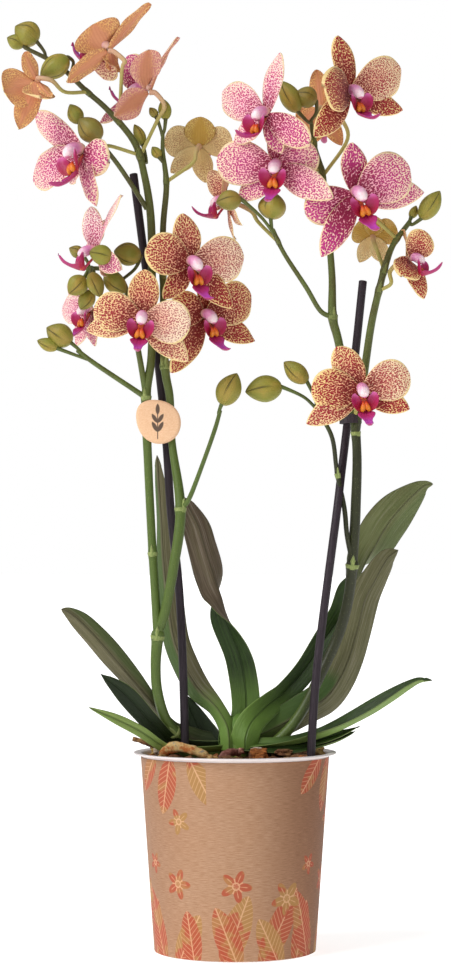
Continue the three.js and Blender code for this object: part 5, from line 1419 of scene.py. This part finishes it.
# Every flower's top sepal, right petal, left petal, lower right and lower left sepal, as [x, z] of its tip
# as seen, how far it leans out of the flower's plane, its width, how far it turns to the viewer (or away,
# below 0), and its spots: how much of it they cover and how pale it is, a paleness that is painted light on
# the tepals that are lit and let light through.
TEPALS = {
    "flower_left_tip": [
        [-94.4, 400, -3, 0.6, 0, 0.3, 0.3], [-103.7, 382, 0, 1, 0, 0.35, 0.3],
        [-87.2, 378.4, -6, 0.8, 0, 0.3, 0.3], [-97, 364.9, 2, 0.85, 0, 0.35, 0.3],
        [-81.8, 378.9, -6, 0.4, 0, 0.3, 0.3],
    ],
    "flower_left_top": [
        [-38.9, 422.6, -2, 0.62, 0, 0.3, 0.3], [-63.8, 412.6, 5, 1.12, -1, 0.35, 0.3],
        [-59, 387.4, -9, 0.72, 0.7, 0.5, 0.45], [-76, 387, 3, 0.8, 0, 0.3, 0.3],
        [-53.2, 391, -8, 0.6, 0, 0.6, 0.3],
    ],
    "flower_left_side": [
        [-26.4, 407.2, -4, 0.4, 0, 0.3, 0.3], [-38.9, 401.4, 9, 0.76, -0.65, 0.5, 0.4],
        [-48.7, 398.4, -9, 0.7, 0.7, 0.85, 0.1], [-54.5, 371.2, 9, 1.0, -0.4, 0.4, 0.4],
        [-60.8, 368.5, -8, 0.6, 0.7, 0.7, 0.3],
    ],
    "flower_left_pink": [
        [-90.7, 372.6, 0, 0.8, 0, 0.5, 0.3], [-57.6, 351, -2, 0.72, 0, 0.6, 0.2],
        [-91, 343, 0, 0.78, 0, 0.58, 0.3], [-62.9, 330.8, 0, 0.66, 0, 0.62, 0.2],
        [-74.6, 340.7, -7, 0.6, 0, 0.5, 0.4],
    ],
    "flower_left_olive": [
        [-15.4, 370.8, 0, 1.25, 0, 0.2, 0], [-31.2, 361.3, 0, 0.9, 0, 0.4, 0.8],
        [-1.3, 361.3, 0, 0.85, 0, 0.4, 0.8], [-28.6, 345.6, 0, 0.8, 0, 0.3, 0.8],
        [-12.9, 341.1, 0, 0.85, 0, 0.5, 0.7],
    ],
    "flower_left_profile": [
        [-64.3, 330.8, -1, 0.78, 0.9, 0.4, 0.9], [-51.8, 336.2, 2, 0.75, 0, 0.3, 0.6],
        [-60.7, 323.6, -14, 0.8, 0.3, 0.4, 0.7], [-51.3, 302.1, 6, 0.8, 0.5, 0.65, 0.4],
        [-58.4, 299, -8, 0.7, 0, 0.6, 0.4],
    ],
    "flower_left_behind": [
        [-75.4, 295.4, 0, 0.8, 0, 0.4, 0.7], [-65.5, 294.1, 0, 0.8, 0, 0.4, 0.6],
        [-77.6, 284.7, 0, 0.8, 0, 0.4, 0.7], [-63.3, 268.1, 0, 0.85, 0, 0.7, 0.3],
        [-71.7, 268.1, 0, 0.85, 0, 0.55, 0.5],
    ],
    "flower_left_front": [
        [-40.1, 302.6, -2, 1, 0, 0.6, 0.05], [-20, 278, 2, 0.98, 0, 0.3, 0.8],
        [-62.9, 285.6, 0, 0.9, 0, 0.62, 0.15], [-20.9, 261.4, 0, 0.9, 0, 0.58, 0.35],
        [-66.4, 275.3, -1, 0.85, 0, 0.62, 0.25],
    ],
    "flower_middle_upper": [
        [-22.7, 327.7, -2, 0.98, 0, 0.68, 0.15], [4.5, 308.3, 1, 1.0, 0, 0.42, 0.75],
        [-38.8, 312.4, 0, 0.92, 0, 0.72, 0.1], [-0.4, 285.1, 3, 0.84, 0, 0.95, 0],
        [-31.2, 289.1, -2, 0.75, 0, 0.85, 0],
    ],
    "flower_middle_lower": [
        [-10.2, 303, -4, 0.9, 0, 0.8, 0], [7.6, 291.4, 0, 1, 0, 0.78, 0.1],
        [-28.1, 286.9, -2, 0.85, 0, 0.85, 0], [9.4, 270.4, 1, 0.84, 0, 0.85, 0],
        [-27.6, 256.1, 1, 1, 0, 0.9, 0],
    ],
    "flower_middle_profile": [
        [-11.6, 347, -4, 0.8, 0.7, 0.5, 0.4], [-4, 348.3, 8, 0.8, -0.3, 0.4, 0.5],
        [-9.3, 335.3, -12, 0.85, 0.8, 0.5, 0.3], [2.3, 321.8, 6, 0.85, -0.2, 0.4, 0.4],
        [-0.9, 315.6, -2, 0.6, 0, 0.5, 0.4],
    ],
    "flower_right_pink_upper": [
        [19.7, 400, -2, 0.76, 0, 0.42, 0.5], [32.8, 359.6, -1, 0.66, 0, 0.75, 0.1],
        [-6.2, 382, 1, 0.85, 0, 0.45, 0.5], [20.2, 354.2, -3, 0.75, 0, 0.75, 0],
        [-0.8, 359.1, 2, 0.8, 0, 0.5, 0.4],
    ],
    "flower_right_pink_lower": [
        [22.4, 370.3, -2, 0.9, 0, 0.7, 0], [36.7, 355, 0, 0.85, 0, 0.58, 0.2],
        [-8.4, 351.5, 1, 0.98, 0, 0.58, 0.2], [43.4, 334.8, 9, 0.98, 0, 0.55, 0.3],
        [1.4, 333.5, 0, 0.85, 0, 0.6, 0.1],
    ],
    "flower_right_top": [
        [46.6, 407.7, -2, 0.92, 0, 0.85, 0], [74.8, 392.8, 0, 0.95, 0, 0.48, 0.45],
        [41.2, 384.6, 14, 1.0, 0, 0.95, 0], [75.6, 373.9, 2, 0.86, 0, 0.95, 0],
        [36.3, 362.2, 3, 0.95, 0, 0.92, 0],
    ],
    "flower_right_hidden": [
        [36.7, 391.9, 0, 0.75, 0, 0.2, 0.4], [29.1, 366.7, 0, 0.8, 0, 0.3, 0.4],
        [48.8, 370.3, 0, 0.8, 0, 0.3, 0.4], [35.4, 358.6, 0, 0.7, 0, 0.3, 0.4],
        [47.9, 357.7, 0, 0.7, 0, 0.3, 0.4],
    ],
    "flower_right_large": [
        [52.8, 359.6, -2, 0.82, 0, 0.9, 0], [78.2, 348.8, 1, 1.04, 0, 0.6, 0.15],
        [31.6, 327.8, -3, 0.78, 0, 0.9, 0], [84.9, 337.1, 0, 0.95, 0, 0.6, 0.2],
        [38.9, 308, 1, 0.85, 0, 1, 0],
    ],
    "flower_right_profile": [
        [75.9, 320.5, -3, 0.9, -0.3, 0.5, 0.3], [84.6, 319.6, 4, 0.8, 0.8, 0.7, 0.1],
        [75.4, 300.2, 10, 0.85, 0.7, 0.8, 0], [84.8, 289.6, 3, 0.75, 0.7, 0.8, 0.1],
        [82.6, 293.2, -8, 0.7, 0.4, 0.75, 0.1],
    ],
    "flower_right_olive": [
        [62.6, 326.3, 0, 1.1, 0, 0.1, 0], [53.2, 321.4, 0, 1, 0, 0.1, 0.2],
        [72.4, 320.9, 0, 1, 0, 0.1, 0.2], [55.4, 305.7, 0, 0.9, 0, 0.1, 0.9],
        [67, 305.3, 0, 1, 0, 0.1, 0.9],
    ],
    "flower_right_front": [
        [45.5, 268.1, -2, 1, 0, 0.66, 0.1], [78, 256.1, 1, 0.92, 0, 0.5, 0.5],
        [34.3, 248.9, 1, 0.95, 0, 0.72, 0], [78, 240, 2, 0.82, 0, 0.85, 0],
        [32.1, 233.3, 1, 0.9, 0, 0.78, 0.2],
    ],
}
PETAL_LOOKS = {"warm": (WARM, "petal_warm"), "pink": (PINK, "petal_pink"), "olive": (OLIVE, "petal_olive")}
# Nominal width in half spans, where it is widest, and the two powers that shape its far half
TOP_SEPAL_SHAPE = [0.64, 0.5, 2.0, 0.6]
PETAL_SHAPE = [0.92, 0.58, 2.3, 0.5]
LOW_SEPAL_SHAPE = [0.64, 0.48, 1.8, 0.75]
TEPAL_SHAPES = [TOP_SEPAL_SHAPE, PETAL_SHAPE, PETAL_SHAPE, LOW_SEPAL_SHAPE, LOW_SEPAL_SHAPE]
LIP_DROOP = 42


def flower_axes(facing, roll):
    """A flower's own right, top and forward ways."""
    right, up = map(math.radians, facing)
    forward = np.array([math.sin(right) * math.cos(up), -math.cos(right) * math.cos(up), math.sin(up)])
    sideways = np.array([math.cos(right), math.sin(right), 0])
    top = np.cross(forward, sideways)
    turn = math.radians(-roll)
    return np.array([sideways * math.cos(turn) + top * math.sin(turn),
                     top * math.cos(turn) - sideways * math.sin(turn), forward])


def outline(share, widest, power, blunt, claw):
    """A tepal's width along its length, as a share of its greatest width."""
    rise = claw + (1 - claw) * np.sin(np.clip(share / widest, 0, 1) * np.pi / 2) ** 0.85
    fall = (1 - np.clip((share - widest) / (1 - widest), 0, 1) ** power) ** blunt
    return rise * fall


def tepal(shape, tip, width, turn, to_eye, outer, petal, chance, **marks):
    """A petal or sepal of a flower that faces +z, from the flower's middle to its tip."""
    rows = 26
    share = 1 - (1 - np.linspace(0, 1, rows)) ** 1.5
    length = np.linalg.norm(tip)
    way = tip / length
    flat = unit(np.array([0, 0, 1.0]) - way * way[2])
    shown = unit(to_eye - way * way.dot(to_eye)) * math.copysign(1, turn)
    turning = abs(turn) * np.clip(share / 0.35, 0, 1)[:, None]
    face = unit(flat * (1 - turning) + shown * turning)
    layer, arch = (0.7, 1.0) if petal else (-0.5, 0.5)
    curve = layer * (1 - share) + arch * chance.uniform(0.5, 1.6) * np.sin(np.pi * share)
    centres = way * (0.8 + (length - 0.8) * share)[:, None] + flat * curve[:, None]
    halves = width / 2 * outline(share, *outer, 0.16 if petal else 0.3)
    phase, waves = chance.uniform(0, 6), chance.uniform(1.2, 2.2)
    cup, curl = (0.5, 1.2) if petal else (0.9, 0.8)

    def lift(share, v):
        ruffle = 0.55 * np.sin(2 * np.pi * waves * share + phase + 1.5 * v) * v ** 2 * share
        groove = -0.3 * np.exp(-(v * 7) ** 2) * (1 - share)
        return cup * v ** 2 * (1 - share) - curl * v ** 4 * share - 0.8 * share ** 6 + ruffle + groove

    blade(shape, centres, np.cross(way, face), face, np.maximum(halves, 0.04), lift, PETAL_THICKNESS, 18,
          PETAL_LOOK, pick=chance.random(), **marks)


def lobe(shape, rows, look, up, curl, chance, thickness=0.6):
    """A lobe of the lip through rows of [x, y, z, half width], with its inner face towards up."""
    smooth = between(rows, 7)
    centres = smooth[:, :3]
    along = unit(np.gradient(centres, axis=0))
    face = unit(up - along * along.dot(up)[:, None])
    halves = np.maximum(smooth[:, 3], 0.05)
    lift = lambda share, v: curl * v ** 2 * halves[:, None]
    blade(shape, centres, np.cross(along, face), face, halves, lift, thickness, 10, look,
          pick=chance.random())


# Places in the list of a flower's finishes
PETAL_LOOK, MIDDLE_LOOK, SIDE_LOOK, CALLUS_LOOK, COLUMN_LOOK = range(5)
# Parts of the lip in a flower that faces +z with +y up, as rows of [x, y, z, half width]. The middle lobe's
# rows are [forwards, up, half width] from its hinge, about which it droops.
LIP_HINGE = [-8.8, 5.2]
MIDDLE_LOBE = [[0, 0, 1.5], [1.5, -0.2, 2.7], [3.4, -0.2, 3.9], [5.2, 0, 3.5], [6.8, 0.2, 2.3],
               [8.6, 0.6, 1.8], [11.0, 1.5, 1.7], [13.0, 3.2, 1.3], [14.2, 4.8, 0.5]]
LIP_FOOT = [[0, -1.6, 1, 1], [0, -4.6, 3.0, 1.5], [0, -7.4, 4.7, 1.5]]
RIGHT_LOBE = [[0.9, -8.2, 5.4, 1.2], [2.9, -6.8, 6.5, 2.6], [4.1, -4.4, 7.2, 2.7], [4.3, -2.2, 7.4, 1.9],
              [4.0, -0.9, 7.4, 0.3]]
CALLUS_HALF = [[1.3, -9.2, 6.8, 0.3], [1.3, -8.4, 7.2, 1.0], [0.9, -7.2, 7.4, 1.2], [0.7, -6, 7.2, 0.9],
               [0.7, -4.8, 6.6, 0.3]]
COLUMN_ROWS = [[0, 0.9, 0.2, 1.6], [0, 1.4, 1.4, 2.2], [0, 1.3, 3.6, 2.3], [0, 0.2, 6.0, 2.6],
               [0, -1.4, 7.5, 2.3], [0, -2.7, 8.0, 1.4], [0, -3.3, 8.1, 0.4]]
STALK_RADII = [1.3, 1.15, 1.0, 0.85, 0.85]


def bloom(shape, name, row, chance):
    """All of a flower but its stalk, facing +z with its centre at the origin."""
    axes, centre = flower_axes(row["facing"], row["roll"]), at(*row["centre"])
    to_viewer = np.array([0, -1.0, 0])
    seen_flat = axes[2] if abs(axes[2][1]) > 0.5 else to_viewer
    for (x, z, out, width, turn, cover, pale), outer in zip(TEPALS[name], TEPAL_SHAPES):
        sight = at(x, z) - EYE
        reach = (centre - EYE).dot(seen_flat) + out
        tip = axes @ (EYE + sight * (reach / sight.dot(seen_flat)) - centre) / row["size"]
        tepal(shape, tip, width * outer[0] * FLOWER_SPAN / 2, turn, axes @ to_viewer, outer[1:],
              outer is PETAL_SHAPE, chance, cover=cover, pale=pale)
    droop = math.radians(row.get("droop", LIP_DROOP))
    middle = LIP_FOOT + [[0, LIP_HINGE[0] + up * math.cos(droop) - ahead * math.sin(droop),
                          LIP_HINGE[1] + up * math.sin(droop) + ahead * math.cos(droop), half]
                         for ahead, up, half in MIDDLE_LOBE]
    lobe(shape, middle, MIDDLE_LOOK, np.array([0, 1, 0.6]), 0.4, chance, 1.1)
    for side in (1, -1):
        mirror = np.array([side, 1, 1, 1])
        inwards = np.array([-0.5 * side, 0.2, 0.9])
        lobe(shape, np.array(RIGHT_LOBE) * mirror, SIDE_LOOK, inwards, 0.3, chance)
        path = between(np.array(CALLUS_HALF) * mirror, 4)
        swept(shape, path[:, :3], path[:, 3], 14, CALLUS_LOOK, pick=chance.random())
    path = between(COLUMN_ROWS, 5)
    swept(shape, path[:, :3], path[:, 3], 22, COLUMN_LOOK)


def make_flower(name, row):
    chance = random.Random(name)
    shape = Shape()
    bloom(shape, name, row, chance)
    axes, centre = flower_axes(row["facing"], row["roll"]), at(*row["centre"])
    points = np.array(shape.points) * row["size"]
    shape.points = (points @ axes + centre).tolist()
    finish, slot = PETAL_LOOKS[row["look"]]
    shape.piece(name, name, slot, finish, MIDLOBE, SIDE_LOBE, CALLUS, COLUMN)
    forward, join = axes[2], at(*row["join"])
    behind = centre - forward * 6.5 * row["size"]
    middle = at(*row["waypoint"]) if "waypoint" in row else (behind + join) / 2
    bend = behind * 0.6 + middle * 0.4 - forward * 2
    places = [centre - forward * 0.6, centre - forward * 3.6, bend, middle, join]
    stalks(name + "_stalk", name, slot, [thick_path(places, STALK_RADII, 8)], STALK)


def make_tag():
    """The egg-shaped card, slightly dished, hung in front of the stems."""
    centre, tilt = at(*TAG["centre"]), math.radians(TAG["tilt"])
    around, rings = 64, 8
    angle = np.linspace(0, 2 * np.pi, around, endpoint=False)
    narrow = 1 - 0.12 * np.cos(angle) - 0.05 * np.cos(2 * angle)
    rim = np.stack([TAG["width"] / 2 * np.sin(angle) * narrow * 1.03,
                    TAG["height"] / 2 * np.cos(angle)], axis=1)
    parts = np.linspace(0, 1, rings + 1)[1:]
    flat = np.concatenate([[[0, 0]], (rim[None] * parts[:, None, None]).reshape(-1, 2)])
    size = np.concatenate([[0], np.repeat(parts, around)])
    turned_x = flat[:, 0] * math.cos(tilt) - flat[:, 1] * math.sin(tilt)
    turned_z = flat[:, 0] * math.sin(tilt) + flat[:, 1] * math.cos(tilt)
    bow = 0.5 * (flat[:, 0] / 8) ** 2
    front = np.stack([turned_x, -TAG["thickness"] / 2 + bow, turned_z], axis=1) + centre
    back = front + np.array([0, TAG["thickness"], 0])
    count = len(front)
    faces = [[0, 1 + step, 1 + (step + 1) % around] for step in range(around)]
    faces += grid_faces(rings, around, 1, closed=True)
    faces += [[corner + count for corner in face] for face in faces]
    last = 1 + (rings - 1) * around
    for step in range(around):
        here, there = last + step, last + (step + 1) % around
        faces.append([here, there, there + count, here + count])
    shape = Shape()
    shape.add(np.concatenate([front, back]), faces, front=np.repeat([1.0, 0.0], count),
              right=np.tile(turned_x, 2), up=np.tile(turned_z, 2))
    shape.piece("card_tag", "card_tag", "tag_card", TAG_CARD)


# Camera, light and floor

def make_camera():
    camera = bpy.data.objects.new("camera", bpy.data.cameras.new("camera"))
    camera.data.lens = EYE_LENS
    camera.location = EYE * MM
    camera.rotation_euler = (math.radians(90 + EYE_PITCH), 0, 0)
    bpy.context.scene.collection.objects.link(camera)
    bpy.context.scene.camera = camera


def make_sun(name, strength, softness, side, height):
    """Soft light from one side. side and height are the degrees to the right and up that it comes from."""
    sun = bpy.data.objects.new(name, bpy.data.lights.new(name, "SUN"))
    sun.data.energy = strength
    sun.data.angle = math.radians(softness)
    sun.rotation_euler = (math.radians(90 - height), 0, math.radians(side))
    bpy.context.scene.collection.objects.link(sun)


def make_surroundings():
    world = bpy.data.worlds.new("studio")
    world.use_nodes = True
    bpy.context.scene.world = world
    tree = world.node_tree
    seen, soft = tree.nodes["Background"], tree.nodes.new("ShaderNodeBackground")
    seen.inputs["Color"].default_value = (1, 1, 1, 1)
    seen.inputs["Strength"].default_value = 1.0
    soft.inputs["Color"].default_value = (1, 0.99, 0.98, 1)
    soft.inputs["Strength"].default_value = 0.3
    blend, ray = tree.nodes.new("ShaderNodeMixShader"), tree.nodes.new("ShaderNodeLightPath")
    tree.links.new(ray.outputs["Is Camera Ray"], blend.inputs[0])
    tree.links.new(soft.outputs[0], blend.inputs[1])
    tree.links.new(seen.outputs[0], blend.inputs[2])
    tree.links.new(blend.outputs[0], tree.nodes["World Output"].inputs["Surface"])
    make_sun("key", 2.25, 36, -56, 40)
    make_sun("fill", 0.14, 60, 10, 25)
    bpy.context.scene.view_settings.view_transform = "Standard"
    floor_mesh = bpy.data.meshes.new("floor")
    wide = bmesh.new()
    bmesh.ops.create_circle(wide, cap_ends=True, radius=FLOOR_RADIUS, segments=64)
    wide.to_mesh(floor_mesh)
    wide.free()
    paint = Finish("floor_pale")
    paint.shader.inputs["Roughness"].default_value = 0.9
    paint.shader.inputs["Emission Color"].default_value = (1, 1, 1, 1)
    paint.shader.inputs["Emission Strength"].default_value = 0.7
    paint.put("Base Color", paint.mix(paint.cloud(paint.place(), 0.002), "f4f4f3", "f8f8f7"))
    floor_mesh.materials.append(paint.material)
    floor = bpy.data.objects.new("floor", floor_mesh)
    bpy.context.scene.collection.objects.link(floor)


make_camera()
make_surroundings()
make_pot()
make_bark()
for chip_name, chip_row in CHIPS.items():
    rough_chip(chip_name, chip_name, *chip_row)
for chip_name, chip_row in SMALL_CHIPS.items():
    rough_chip(chip_name, "growing_bark", *chip_row)
for root_name, root_row in ROOTS.items():
    gnarled(root_name, *root_row)
for stick_name, stick_rows in STICKS.items():
    make_stick(stick_name, stick_rows)
make_crown()
for stem_name, stem_row in STEMS.items():
    make_stem(stem_name, stem_row)
for leaf_name, leaf_rows in LEAVES.items():
    make_leaf(leaf_name, leaf_rows)
make_tag()
for flower_name, flower_row in FLOWERS.items():
    make_flower(flower_name, flower_row)
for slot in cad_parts["stem_clip"].material_slots:
    slot.material = STICK
